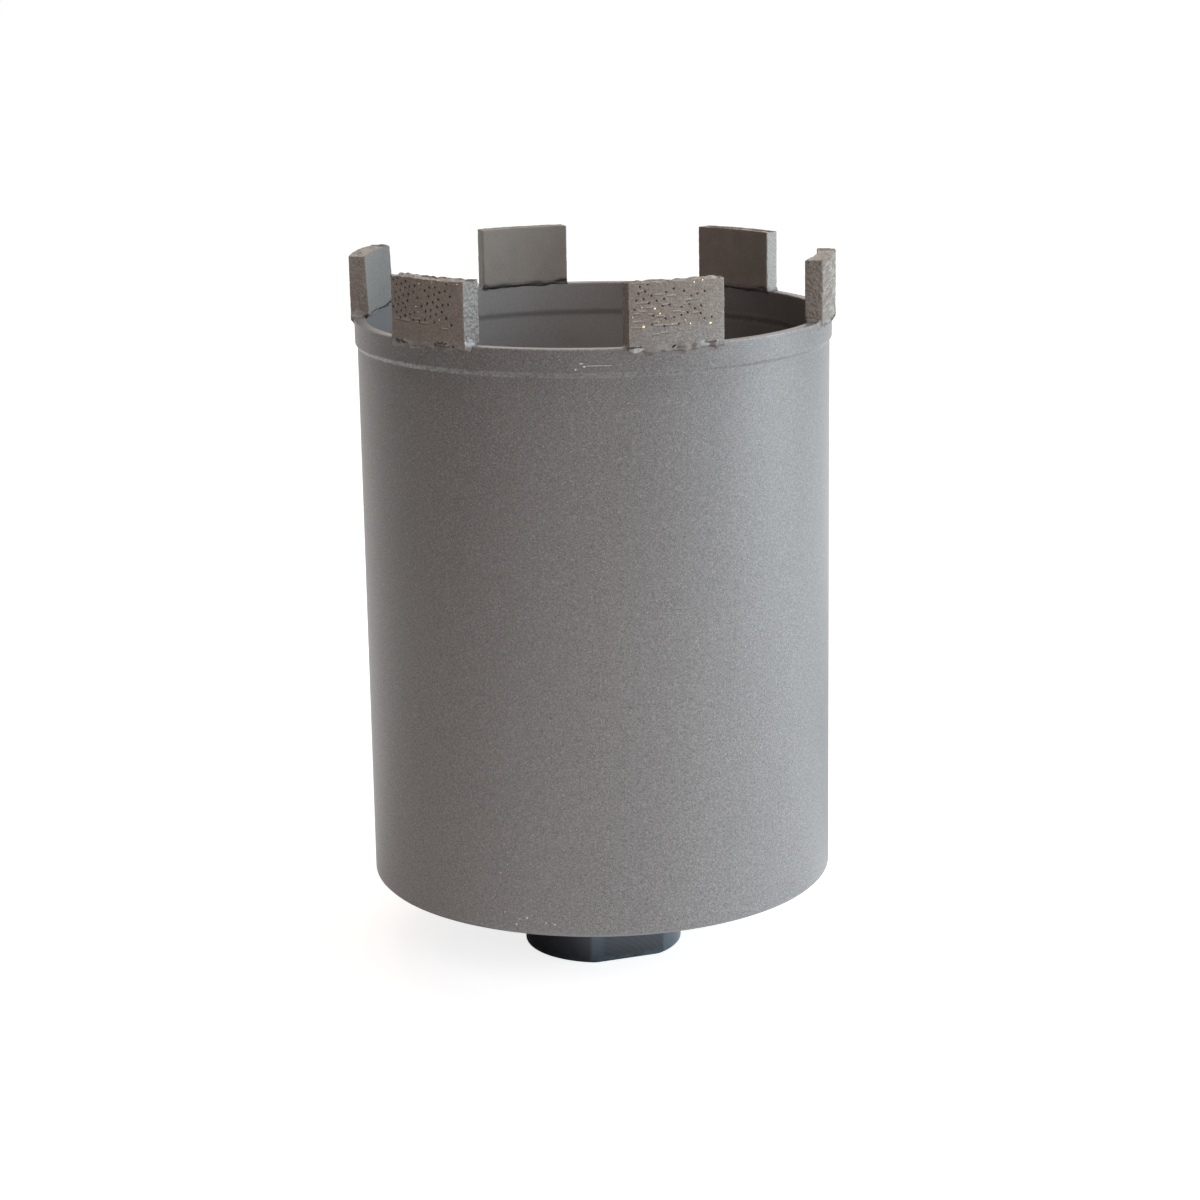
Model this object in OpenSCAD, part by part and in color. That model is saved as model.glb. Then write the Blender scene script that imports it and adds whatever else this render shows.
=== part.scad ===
// Dry diamond core bit: a thin turned steel tube closed by a welded base plate
// and a threaded hub, with diamond segments brazed onto its open rim.
// The bit stands on the hub's end face, with its axis on Z and the cutting
// crown at the top. Angles round the axis start at -Y and grow towards +X.

/* [Cutting crown] */
// Diameter over the segments, which is the diameter of the hole
bit_d = 122; // [90:1:180]
// Number of diamond segments
segment_count = 6; // [3:1:8]
// Length of a segment along the rim, measured straight across
segment_len = 24; // [16:0.5:30]
// Radial thickness of a segment
segment_t = 4.3; // [3.8:0.1:5]
// Height of a segment above its braze joint, up to the crests of its ragged top
segment_h = 15.4; // [7:0.1:18]
// Width of the bevel along the edges of a segment
segment_bevel = 0.3; // [0.1:0.05:0.5]
// How far a segment stands out from the rim band
side_clearance = 1; // [0.6:0.1:1.2]
// Direction of the first segment from -Y towards +X
first_segment = 19; // [-30:1:30]

/* [Braze joints] */
// Thickness of the braze between the rim and a segment
braze_t = 0.4; // [0.2:0.1:0.6]
// Height of the fillet that the braze draws down the sides of the rim
braze_drop = 1.1; // [0.6:0.1:2]
// Leg of the braze fillet against the ends of a segment
braze_end = 1; // [0.6:0.1:1.6]

/* [Tube] */
// Length of the tube from its lower edge to the rim
tube_len = 145; // [60:5:400]
// Wall thickness of the rim band, which keeps the tube's full stock
band_wall = 2.8; // [2.4:0.1:3.2]
// Height of the rim band on the outside
band_outer_h = 5.8; // [4:0.1:12]
// Height of the rim band on the inside
band_inner_h = 7.4; // [4:0.1:14]
// Depth that the tube is turned down below the band outside
relief_outer = 0.6; // [0.2:0.1:0.8]
// Depth that the tube is bored out below the band inside
relief_inner = 0.5; // [0.2:0.1:0.8]
// Bevel on both edges of the rim
rim_bevel = 0.2; // [0.1:0.05:0.4]
// Bevel on the tube's lower outer edge
foot_bevel = 1; // [0.4:0.1:1.2]

/* [Base plate] */
// Thickness of the plate that closes the tube
plate_t = 6; // [4:0.5:12]
// How far the plate sits up inside the tube's lower end
plate_recess = 2; // [1.5:0.1:4]
// Leg of the weld between the tube and the plate
tube_weld_leg = 2.4; // [1.5:0.1:4]

/* [Hub] */
// Diameter of the hub
hub_d = 41; // [36:0.5:60]
// How far the hub stands out below the tube
hub_reach = 21.3; // [18:0.1:40]
// Width across the two wrench flats
wrench_af = 36; // [30:0.5:36]
// Height of the wrench flats from the hub's end
flat_h = 16; // [10:0.5:17]
// Direction that one wrench flat faces, from -Y towards +X
flat_angle = 20; // [-90:1:90]
// Radius of the rounded edge round the hub's end face
hub_round = 0.5; // [0.3:0.1:1.5]
// Diameter of the collar that seats in the base plate
collar_d = 30; // [24:0.5:34]
// Leg of the weld between the hub and the base plate
hub_weld_leg = 3; // [2:0.1:5]

/* [Thread] */
// Nominal diameter of the arbor thread
thread_d = 16; // [10:1:20]
// Pitch of the arbor thread
thread_pitch = 2; // [1:0.25:2.5]

/* [Hidden] */
$fn = 180;
eps = 0.01;

// Each segment is set by hand, so it sits a little off its even place and
// turned a little about its own middle. Both are in degrees.
set_shift = [0, -1, -1, 0, 1, 0, 0, 0];
set_turn = [1, 0.5, -1.5, 1.5, 0, -0.5, 0, 0];

seg_outer_r = bit_d / 2;
seg_inner_r = seg_outer_r - segment_t;
seg_mid_r = (seg_outer_r + seg_inner_r) / 2;
band_outer_r = seg_outer_r - side_clearance;
band_inner_r = band_outer_r - band_wall;
tube_outer_r = band_outer_r - relief_outer;
tube_inner_r = band_inner_r + relief_inner;
outer_ramp = 1.3 * relief_outer;
inner_ramp = 2.4 * relief_inner;

tube_z = hub_reach;
rim_z = tube_z + tube_len;
segment_z = rim_z + braze_t;
plate_z = tube_z + plate_recess;
plate_top_z = plate_z + plate_t;

hub_r = hub_d / 2;
collar_r = collar_d / 2;
thread_r = thread_d / 2;
thread_minor_r = thread_r - 0.5412659 * thread_pitch;
countersink_r = thread_r + 0.3;
countersink_h = countersink_r - thread_minor_r;

steel_paint = [0.52, 0.50, 0.49];
blued_steel = [0.20, 0.22, 0.24];
sintered_metal = [0.47, 0.43, 0.39];
braze_metal = [0.62, 0.58, 0.52];
weld_metal = [0.50, 0.49, 0.48];

// The tube's wall in section, with its rim band and the relief below it
module tube_section() {
    polygon([
        [tube_inner_r, tube_z],
        [tube_outer_r - foot_bevel, tube_z],
        [tube_outer_r, tube_z + foot_bevel],
        [tube_outer_r, rim_z - band_outer_h - outer_ramp],
        [band_outer_r, rim_z - band_outer_h],
        [band_outer_r, rim_z - rim_bevel],
        [band_outer_r - rim_bevel, rim_z],
        [band_inner_r + rim_bevel, rim_z],
        [band_inner_r, rim_z - rim_bevel],
        [band_inner_r, rim_z - band_inner_h],
        [tube_inner_r, rim_z - band_inner_h - inner_ramp]
    ]);
}

// The braze in section: it fills the gap over the rim and wets both its sides
module braze_section() {
    polygon([
        [seg_inner_r, segment_z],
        [seg_outer_r, segment_z],
        [band_outer_r, rim_z - braze_drop],
        [band_outer_r, rim_z - rim_bevel],
        [band_outer_r - rim_bevel, rim_z],
        [band_inner_r + rim_bevel, rim_z],
        [band_inner_r, rim_z - rim_bevel],
        [band_inner_r, rim_z - braze_drop * 0.8]
    ]);
}

// Moves what is drawn at -Y to the place of segment i
module at_segment(i) {
    rotate([0, 0, first_segment + (i - 1) * 360 / segment_count + set_shift[i - 1]])
        translate([0, -seg_mid_r, 0])
            rotate([0, 0, set_turn[i - 1]])
                translate([0, seg_mid_r, 0])
                    children();
}

// A block that spans the rim at -Y, as wide as a segment is long
module slab(z0, z1) {
    translate([-segment_len / 2, -seg_outer_r - 5, z0])
        cube([segment_len, seg_outer_r / 2, z1 - z0]);
}

module tube() {
    color(steel_paint)
        rotate_extrude()
            tube_section();
}

module base_plate() {
    color(steel_paint)
        rotate_extrude()
            polygon([
                [collar_r, plate_z],
                [tube_inner_r, plate_z],
                [tube_inner_r, plate_top_z],
                [collar_r, plate_top_z]
            ]);
}

// The hub's turned blank: a body with a rounded end, and a collar for the plate
module hub_blank() {
    rotate_extrude() {
        square([hub_r - hub_round, plate_z]);
        translate([hub_r - hub_round, hub_round])
            circle(hub_round);
        translate([0, hub_round])
            square([hub_r, plate_z - hub_round]);
        square([collar_r, plate_top_z]);
    }
}

// The two side cuts that leave the wrench flats and a round shoulder above them
module wrench_cuts() {
    rotate([0, 0, flat_angle])
        for (side = [-1, 1])
            translate([-hub_r, side > 0 ? wrench_af / 2 : -hub_r - wrench_af / 2, -eps])
                cube([hub_d, hub_r, flat_h + eps]);
}

// The tapped hole, at the thread's minor diameter, opened at both mouths
module thread_hole() {
    rotate_extrude()
        polygon([
            [0, -eps],
            [countersink_r + eps, -eps],
            [thread_minor_r, countersink_h],
            [thread_minor_r, plate_top_z - countersink_h],
            [countersink_r + eps, plate_top_z + eps],
            [0, plate_top_z + eps]
        ]);
}

module hub() {
    color(blued_steel)
        difference() {
            hub_blank();
            wrench_cuts();
            thread_hole();
        }
}

// Fillet weld in the corner between the tube's lower end and the plate
module tube_weld() {
    color(weld_metal)
        rotate_extrude()
            polygon([
                [tube_inner_r, plate_z],
                [tube_inner_r - tube_weld_leg, plate_z],
                [tube_inner_r - tube_weld_leg * 0.4, plate_z - plate_recess * 0.55],
                [tube_inner_r, plate_z - plate_recess * 0.9]
            ]);
}

// Fillet weld in the corner between the hub's shoulder and the plate
module hub_weld() {
    color(weld_metal)
        rotate_extrude()
            polygon([
                [hub_r, plate_z],
                [hub_r + hub_weld_leg, plate_z],
                [hub_r + hub_weld_leg * 0.55, plate_z - hub_weld_leg * 0.55],
                [hub_r, plate_z - hub_weld_leg]
            ]);
}

// A sintered segment: its faces follow the rim and its two ends are parallel
module segment(i) {
    color(sintered_metal)
        at_segment(i)
            intersection() {
                rotate_extrude()
                    polygon([
                        [seg_inner_r, segment_z],
                        [seg_outer_r, segment_z],
                        [seg_outer_r, segment_z + segment_h - segment_bevel],
                        [seg_outer_r - segment_bevel, segment_z + segment_h],
                        [seg_inner_r + segment_bevel, segment_z + segment_h],
                        [seg_inner_r, segment_z + segment_h - segment_bevel]
                    ]);
                slab(segment_z - 1, segment_z + segment_h + 1);
            }
}

// Two wedges against the ends of the segment at -Y, longer than the rim is thick
module end_wedges() {
    half = segment_len / 2;
    for (side = [-1, 1])
        translate([0, -seg_inner_r * 0.8, 0])
            rotate([90, 0, 0])
                linear_extrude(seg_outer_r / 2)
                    polygon([
                        [side * half, rim_z],
                        [side * (half + braze_end), rim_z],
                        [side * half, segment_z + braze_end]
                    ]);
}

// The braze of one joint: the layer under the segment, and a fillet at each end
module braze(i) {
    color(braze_metal) {
        intersection() {
            rotate_extrude()
                braze_section();
            at_segment(i)
                slab(rim_z - 2 * braze_drop, segment_z);
        }
        intersection() {
            rotate_extrude()
                translate([band_inner_r + rim_bevel, rim_z])
                    square([band_wall - 2 * rim_bevel, braze_t + braze_end]);
            at_segment(i)
                end_wedges();
        }
    }
}

tube();
base_plate();
hub();
tube_weld();
hub_weld();
for (i = [1 : segment_count])
    segment(i);
for (i = [1 : segment_count])
    braze(i);
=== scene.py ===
"""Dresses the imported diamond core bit: its visual pieces, their finishes, the studio and the camera."""
import functools
import itertools
import logging
import math
from dataclasses import dataclass, field
from enum import Enum
from typing import Any, ClassVar, Sequence

import bmesh
import bpy
import numpy as np
from mathutils import Matrix, Vector


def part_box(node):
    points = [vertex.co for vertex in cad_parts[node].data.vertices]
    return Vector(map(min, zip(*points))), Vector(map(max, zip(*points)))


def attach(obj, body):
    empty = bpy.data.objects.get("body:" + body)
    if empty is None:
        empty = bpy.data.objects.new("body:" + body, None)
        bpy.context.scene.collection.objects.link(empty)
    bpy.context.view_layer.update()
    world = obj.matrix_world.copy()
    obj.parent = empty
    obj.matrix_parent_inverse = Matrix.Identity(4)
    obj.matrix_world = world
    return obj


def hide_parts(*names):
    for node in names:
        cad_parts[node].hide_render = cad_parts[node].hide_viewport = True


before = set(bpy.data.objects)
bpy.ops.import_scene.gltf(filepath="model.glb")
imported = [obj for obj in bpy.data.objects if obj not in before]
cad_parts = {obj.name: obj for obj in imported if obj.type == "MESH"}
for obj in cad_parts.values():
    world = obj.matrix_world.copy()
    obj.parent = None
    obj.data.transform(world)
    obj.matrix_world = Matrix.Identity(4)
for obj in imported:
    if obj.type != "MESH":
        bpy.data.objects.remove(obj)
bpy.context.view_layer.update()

LOG = logging.getLogger("core_bit")
MM = 0.001
BODY = "root"
Colour = tuple[float, float, float]
Socket = bpy.types.NodeSocket


class Slot(Enum):
    """The record's material slots."""

    PAINT = "painted_steel"
    BLUED = "blued_steel"
    SINTER = "sintered_metal"
    BRAZE = "braze_alloy"
    WELD = "weld_bead"


class Field(Enum):
    """Values that a mesh carries for its finish, one number for each vertex."""

    WORN = "worn"
    # Painted shade: near-black in pits, grooves, crevices, dark spots in the tops, under the segments'
    # inner feet and on a shaded end.
    PIT = "pit"
    STREAK = "streak"
    FLUX = "flux"
    # Heat tint on the segments and their braze, and painted shade inside the tube.
    BURNT = "burnt"
    COARSE = "coarse"
    # Bare metal on the segments, partly painted light on their ends, and painted sheen on the hub's round
    # sides.
    BARE = "bare"
    ACROSS = "across"
    # Painted shade that darkens the tube's paint towards the rim.
    SCORCH = "scorch"


# Shapes in numbers


@dataclass
class SolidNoise:
    """Smooth noise in space, from -1 to 1, with a seed, which repeats after a number of cells."""

    seed: int
    cells: int = 32

    def __post_init__(self) -> None:
        """Fills the lattice of random values."""
        self.table = np.random.default_rng(self.seed).uniform(-1, 1, (self.cells,) * 3)

    def at(self, points: np.ndarray, size: float | Sequence[float]) -> np.ndarray:
        """Reads the noise.

        Args:
            points: Places, one row each, in mm.
            size: Size of a lump in mm, the same each way or one for each axis.

        Returns:
            One value for each place.
        """
        cell = points / np.asarray(size, float)
        base = np.floor(cell).astype(int)
        part = cell - base
        part = part * part * (3 - 2 * part)
        total = np.zeros(len(points))
        for corner in itertools.product((0, 1), repeat=3):
            share = np.prod(np.where(corner, part, 1 - part), axis=1)
            i, j, k = ((base + corner) % self.cells).T
            total += share * self.table[i, j, k]
        return total


def placed(name: str, data: Any) -> bpy.types.Object:
    """Makes an object of its data and links it to the scene.

    Args:
        name: Name of the object.
        data: Its mesh, lamp or camera.

    Returns:
        The object, at the origin.
    """
    made = bpy.data.objects.new(name, data)
    bpy.context.scene.collection.objects.link(made)
    return made


def carry(mesh: bpy.types.Mesh, key: str, values: np.ndarray) -> None:
    """Gives a mesh a number or a vector for each of its points.

    Args:
        mesh: The mesh.
        key: Name of the attribute.
        values: One value for each point, or one row of three.
    """
    kind, entry = ("FLOAT", "value") if values.ndim == 1 else ("FLOAT_VECTOR", "vector")
    layer = mesh.attributes.new(key, kind, "POINT")
    layer.data.foreach_set(entry, values.astype(np.float32).reshape(-1))


def fade(value: np.ndarray, low: float, high: float) -> np.ndarray:
    """Rises smoothly from 0 at low to 1 at high."""
    part = np.clip((value - low) / (high - low), 0, 1)
    return part * part * (3 - 2 * part)


def rounded(corners: Sequence[tuple[float, float, float]], steps: int = 4) -> np.ndarray:
    """Rounds the corners of a closed outline.

    Args:
        corners: Radius, height and corner rounding of each corner, in mm.
        steps: Number of points on a rounded corner, less one.

    Returns:
        Radius, height and edge weight of each point of the rounded outline.
    """
    rows = []
    points = np.array(corners)[:, :2]
    for i, (r, z, radius) in enumerate(corners):
        here = np.array((r, z))
        back, ahead = points[i - 1] - here, points[(i + 1) % len(points)] - here
        if radius <= 0:
            rows.append((r, z, 0.0))
            continue
        reach = min(radius, np.hypot(*back) * 0.45, np.hypot(*ahead) * 0.45)
        start = here + back / np.hypot(*back) * reach
        end = here + ahead / np.hypot(*ahead) * reach
        for t in np.linspace(0, 1, steps + 1):
            at = (1 - t) ** 2 * start + 2 * t * (1 - t) * here + t * t * end
            rows.append((*at, 1.0))
    return np.array(rows)


@dataclass
class Shell:
    """A closed mesh in numbers, in mm, with the values that its finish reads."""

    points: np.ndarray
    faces: np.ndarray
    fields: dict[Field, np.ndarray] = field(default_factory=dict)

    def to_object(self, name: str, sharp: float = 40.0) -> bpy.types.Object:
        """Makes the Blender object, with its doubles merged and its faces outwards.

        Args:
            name: Name of the object.
            sharp: Angle in degrees from which an edge stays sharp.

        Returns:
            The object, at the origin, with its place in its mesh.
        """
        mesh = bpy.data.meshes.new(name)
        mesh.from_pydata((self.points * MM).tolist(), [], self.faces.tolist())
        for key, values in self.fields.items():
            carry(mesh, key.value, values)
        seal(mesh)
        mesh.shade_smooth()
        mesh.set_sharp_from_angle(angle=math.radians(sharp))
        return placed(name, mesh)


def seal(mesh: bpy.types.Mesh, reach: float = 2e-7) -> None:
    """Merges a mesh's doubles and turns its faces outwards.

    Args:
        mesh: The mesh to change.
        reach: How close two points count as one, in metres.
    """
    work = bmesh.new()
    work.from_mesh(mesh)
    bmesh.ops.remove_doubles(work, verts=work.verts, dist=reach)
    bmesh.ops.dissolve_degenerate(work, edges=work.edges, dist=reach)
    bmesh.ops.recalc_face_normals(work, faces=work.faces)
    work.to_mesh(mesh)
    work.free()


def lathe(outline: np.ndarray, angles: np.ndarray) -> Shell:
    """Turns a closed outline round the bit's axis.

    Args:
        outline: Radius, height and edge weight of each point, in mm.
        angles: Angles from -Y towards +X in radians, over less than a full turn.

    Returns:
        The turned shell, with its edge weights as the worn field.
    """
    rows, turns = len(outline), len(angles)
    radius, height, worn = (np.broadcast_to(c, (turns, rows)) for c in outline.T)
    sin, cos = np.sin(angles)[:, None], np.cos(angles)[:, None]
    points = np.stack((radius * sin, -radius * cos, height), axis=2).reshape(-1, 3)
    index = np.arange(turns * rows).reshape(turns, rows)
    ahead, up = np.roll(index, -1, axis=0), np.roll(index, -1, axis=1)
    faces = np.stack((index, ahead, np.roll(ahead, -1, axis=1), up), axis=2).reshape(-1, 4)
    return Shell(points, faces, {Field.WORN: worn.reshape(-1).copy()})


def full_turn(steps: int) -> np.ndarray:
    """Even angles over a full turn, in radians."""
    return np.arange(steps) * (2 * math.pi / steps)


def block_shell(counts: Sequence[int]) -> tuple[np.ndarray, np.ndarray]:
    """Makes the closed skin of a block of cells.

    Args:
        counts: Number of cells along each of the three axes.

    Returns:
        The skin's lattice points in whole cells, and its four-cornered faces.
    """
    index = np.full([n + 1 for n in counts], -1)
    skin = np.ones(index.shape, bool)
    skin[1:-1, 1:-1, 1:-1] = False
    index[skin] = np.arange(skin.sum())
    faces = []
    for axis, side in itertools.product(range(3), (0, -1)):
        wall = np.take(index, side, axis)
        quads = np.stack((wall[:-1, :-1], wall[1:, :-1], wall[1:, 1:], wall[:-1, 1:]), axis=2)
        quads = quads.reshape(-1, 4)
        outwards = (side == -1) != (axis == 1)
        faces.append(quads if outwards else quads[:, ::-1])
    return np.argwhere(skin), np.concatenate(faces)


# Node trees


@dataclass
class Wiring:
    """Adds nodes to a node tree and links them."""

    tree: bpy.types.NodeTree

    def feed(self, value: Any, socket: Socket) -> None:
        """Links a value to a socket where it is a socket itself, and sets it there otherwise.

        Args:
            value: What the socket is to have.
            socket: The input that takes it.
        """
        if isinstance(value, bpy.types.NodeSocket):
            self.tree.links.new(value, socket)
        else:
            socket.default_value = value

    def node(self, kind: str, inputs: dict[str | int, Any] | None = None,
             **settings: Any) -> bpy.types.Node:
        """Adds a node.

        Args:
            kind: Blender's name for the kind of node.
            inputs: Value or socket for each input, by name or number.
            settings: The node's own properties.

        Returns:
            The new node.
        """
        made = self.tree.nodes.new(kind)
        for name, value in settings.items():
            setattr(made, name, value)
        for key, value in (inputs or {}).items():
            self.feed(value, made.inputs[key])
        return made

    def math(self, operation: str, *values: Any) -> Socket:
        """Adds a Math node on one to three values and gives its result."""
        return self.node("ShaderNodeMath", dict(enumerate(values)), operation=operation).outputs[0]

    def times(self, *factors: Any) -> Socket:
        """Multiplies two or more numbers in turn."""
        return functools.reduce(lambda total, factor: self.math("MULTIPLY", total, factor), factors)

    def less(self, first: Any, second: Any) -> Socket:
        """Takes the second number from the first."""
        return self.math("SUBTRACT", first, second)

    def vector(self, operation: str, *values: Any) -> Socket:
        """Adds a Vector Math node.

        Args:
            operation: What it works out.
            values: The vectors that go in.

        Returns:
            Its result, which is a number for a length, a distance or a dot product.
        """
        made = self.node("ShaderNodeVectorMath", dict(enumerate(values)), operation=operation)
        number = operation in ("LENGTH", "DISTANCE", "DOT_PRODUCT")
        return made.outputs["Value" if number else "Vector"]

    def scaled(self, vector: Any, factor: Any) -> Socket:
        """Multiplies a vector by one number."""
        inputs = {0: vector, "Scale": factor}
        return self.node("ShaderNodeVectorMath", inputs, operation="SCALE").outputs[0]

    def combine(self, x: Any = 0.0, y: Any = 0.0, z: Any = 0.0) -> Socket:
        """Makes a vector of three numbers."""
        return self.node("ShaderNodeCombineXYZ", {0: x, 1: y, 2: z}).outputs[0]

    def split(self, vector: Socket) -> tuple[Socket, Socket, Socket]:
        """Gives the three numbers of a vector."""
        return tuple(self.node("ShaderNodeSeparateXYZ", {0: vector}).outputs)

    def noise(self, place: Socket, scale: Any, detail: float = 2.0, rough: float = 0.5) -> Socket:
        """Gives smooth noise round 0.5 at a place, with scale lumps to the unit."""
        inputs = {"Vector": place, "Scale": scale, "Detail": detail, "Roughness": rough}
        return self.node("ShaderNodeTexNoise", inputs).outputs[0]

    def ramp(self, value: Socket, low: Any, high: Any, to_low: Any = 0.0, to_high: Any = 1.0) -> Socket:
        """Carries a value from one range to another and stops it at the ends."""
        inputs = dict(enumerate((value, low, high, to_low, to_high)))
        return self.node("ShaderNodeMapRange", inputs).outputs[0]

    def blend(self, factor: Any, first: Any, second: Any, how: str = "MIX") -> Socket:
        """Mixes two colours.

        Args:
            factor: Share of the second colour, from 0 to 1.
            first: The colour below.
            second: The colour above.
            how: Blender's name for the way they mix.

        Returns:
            The mixed colour.
        """
        made = self.node("ShaderNodeMix", data_type="RGBA", blend_type=how, clamp_factor=True)
        for number, value in ((0, factor), (6, first), (7, second)):
            self.feed(value, made.inputs[number])
        return made.outputs[2]

    def shaded(self, colour: Any, *grains: bpy.types.Node) -> Socket:
        """Darkens and lightens a colour by the shade of each grain.

        Args:
            colour: The colour.
            grains: Placed groups of fine grain.

        Returns:
            The shaded colour.
        """
        for grain in grains:
            colour = self.blend(1.0, colour, grain.outputs["Shade"], "MULTIPLY")
        return colour

    def coated(self, colour: Any, *coats: tuple[Field, Colour]) -> Socket:
        """Lays colours over a colour, each where the mesh carries it.

        Args:
            colour: The colour below.
            coats: Field and colour of each coat, the lowest first.

        Returns:
            The coated colour.
        """
        for key, coat in coats:
            colour = self.blend(self.carried(key), colour, rgba(coat))
        return colour

    def place_mm(self) -> Socket:
        """Gives the place on the object, in mm."""
        return self.scaled(self.node("ShaderNodeTexCoord").outputs["Object"], 1 / MM)

    def carried(self, key: Field) -> Socket:
        """Gives a value that the mesh carries."""
        return self.node("ShaderNodeAttribute", attribute_name=key.value).outputs["Fac"]


def rgba(colour: Colour) -> tuple[float, float, float, float]:
    """Adds full alpha to a colour."""
    return (*colour, 1.0)


@dataclass(frozen=True)
class Port:
    """A named socket of a node group."""

    name: str
    kind: str = "Float"
    default: Any = None


def add_ports(tree: bpy.types.NodeTree, way: str, ports: Sequence[Port]) -> None:
    """Gives a node tree its named inputs or outputs.

    Args:
        tree: The tree.
        way: INPUT or OUTPUT.
        ports: The sockets, in order.
    """
    for port in ports:
        socket = tree.interface.new_socket(name=port.name, in_out=way, socket_type=f"NodeSocket{port.kind}")
        if port.default is not None:
            socket.default_value = port.default


def argument(name: str) -> str:
    """Gives the name under which a socket's value is passed."""
    return name.lower().replace(" ", "_")


class Effect:
    """A shader node group that several finishes place, each with its own values."""

    name: ClassVar[str]
    inputs: ClassVar[tuple[Port, ...]]
    outputs: ClassVar[tuple[Port, ...]]

    @classmethod
    def tree(cls) -> bpy.types.NodeTree:
        """Gives the group, built the first time.

        Returns:
            The node group.
        """
        if cls.name in bpy.data.node_groups:
            return bpy.data.node_groups[cls.name]
        tree = bpy.data.node_groups.new(cls.name, "ShaderNodeTree")
        add_ports(tree, "INPUT", cls.inputs)
        add_ports(tree, "OUTPUT", cls.outputs)
        w = Wiring(tree)
        start, end = w.node("NodeGroupInput"), w.node("NodeGroupOutput")
        given = {port.name: start.outputs[port.name] for port in cls.inputs}
        place = w.scaled(w.place_mm(), w.math("DIVIDE", 1.0, given["Size"]))
        for key, socket in cls.fill(w, given, place).items():
            w.feed(socket, end.inputs[key])
        return tree

    @classmethod
    def fill(cls, w: Wiring, given: dict[str, Socket], place: Socket) -> dict[str, Socket]:
        """Adds the nodes between the inputs and the outputs.

        Args:
            w: The group's wiring.
            given: The group's inputs by name.
            place: The place on the object, in units of the input Size.

        Returns:
            The socket for each output.
        """
        raise NotImplementedError

    @classmethod
    def put(cls, w: Wiring, **values: Any) -> bpy.types.Node:
        """Places the group in a material.

        Args:
            w: The material's wiring.
            values: Value or socket for each input, by its name in lower case.

        Returns:
            The placed group node.
        """
        made = w.node("ShaderNodeGroup", node_tree=cls.tree())
        for socket in made.inputs:
            if argument(socket.name) in values:
                w.feed(values[argument(socket.name)], socket)
        return made


class FineGrain(Effect):
    """Fine noise: Shade is round 1 and Height runs from 0 to 1."""

    name = "fine_grain"
    inputs = (Port("Size", default=1.0), Port("Contrast", default=0.1))
    outputs = (Port("Shade"), Port("Height"))

    @classmethod
    def fill(cls, w: Wiring, given: dict[str, Socket], place: Socket) -> dict[str, Socket]:
        """Adds the noise, and its swing round 1 by the contrast.

        Args:
            w: The group's wiring.
            given: The group's inputs by name.
            place: The place on the object, in units of the input Size.

        Returns:
            The socket for each output.
        """
        noise = w.noise(place, 1.0, 3.0, 0.6)
        swing = w.math("MULTIPLY", given["Contrast"], 3.0)
        return {"Shade": w.math("MULTIPLY_ADD", w.less(noise, 0.5), swing, 1.0), "Height": noise}


class Flecks(Effect):
    """Small round flecks, in a share of all the cells of one size."""

    name = "flecks"
    inputs = (Port("Size", default=0.3), Port("Share", default=0.1))
    outputs = (Port("Mask"),)

    @classmethod
    def fill(cls, w: Wiring, given: dict[str, Socket], place: Socket) -> dict[str, Socket]:
        """Adds the cells and picks some of them.

        Args:
            w: The group's wiring.
            given: The group's inputs by name.
            place: The place on the object, in units of the input Size.

        Returns:
            The socket for each output.
        """
        cells = w.node("ShaderNodeTexVoronoi", {"Vector": place, "Scale": 1.0})
        chosen = w.math("LESS_THAN", w.split(cells.outputs["Color"])[0], given["Share"])
        return {"Mask": w.math("MULTIPLY", chosen, w.ramp(cells.outputs["Distance"], 0.5, 0.2))}


class Stain(Effect):
    """Soft blotches of a second colour over a first."""

    name = "stain"
    inputs = (Port("Color", "Color"), Port("Stain", "Color"), Port("Size", default=10.0),
              Port("Amount", default=0.5))
    outputs = (Port("Color", "Color"), Port("Mask"))

    @classmethod
    def fill(cls, w: Wiring, given: dict[str, Socket], place: Socket) -> dict[str, Socket]:
        """Adds the noise that makes the blotches.

        Args:
            w: The group's wiring.
            given: The group's inputs by name.
            place: The place on the object, in units of the input Size.

        Returns:
            The socket for each output.
        """
        noise = w.noise(place, 1.0, 4.0, 0.6)
        mask = w.math("MULTIPLY", w.ramp(noise, 0.42, 0.68), given["Amount"])
        return {"Color": w.blend(mask, given["Color"], given["Stain"]), "Mask": mask}


class EdgeWear(Effect):
    """A worn colour along the edges that the mesh marks, broken up by noise."""

    name = "edge_wear"
    inputs = (Port("Color", "Color"), Port("Bare", "Color"), Port("Size", default=1.0),
              Port("Amount", default=0.5))
    outputs = (Port("Color", "Color"), Port("Mask"))

    @classmethod
    def fill(cls, w: Wiring, given: dict[str, Socket], place: Socket) -> dict[str, Socket]:
        """Adds the noise that breaks up the marked edges.

        Args:
            w: The group's wiring.
            given: The group's inputs by name.
            place: The place on the object, in units of the input Size.

        Returns:
            The socket for each output.
        """
        broken = w.ramp(w.noise(place, 1.0, 3.0, 0.65), 0.38, 0.62)
        mask = w.times(w.carried(Field.WORN), broken, given["Amount"])
        return {"Color": w.blend(mask, given["Color"], given["Bare"]), "Mask": mask}


# Finishes


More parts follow.
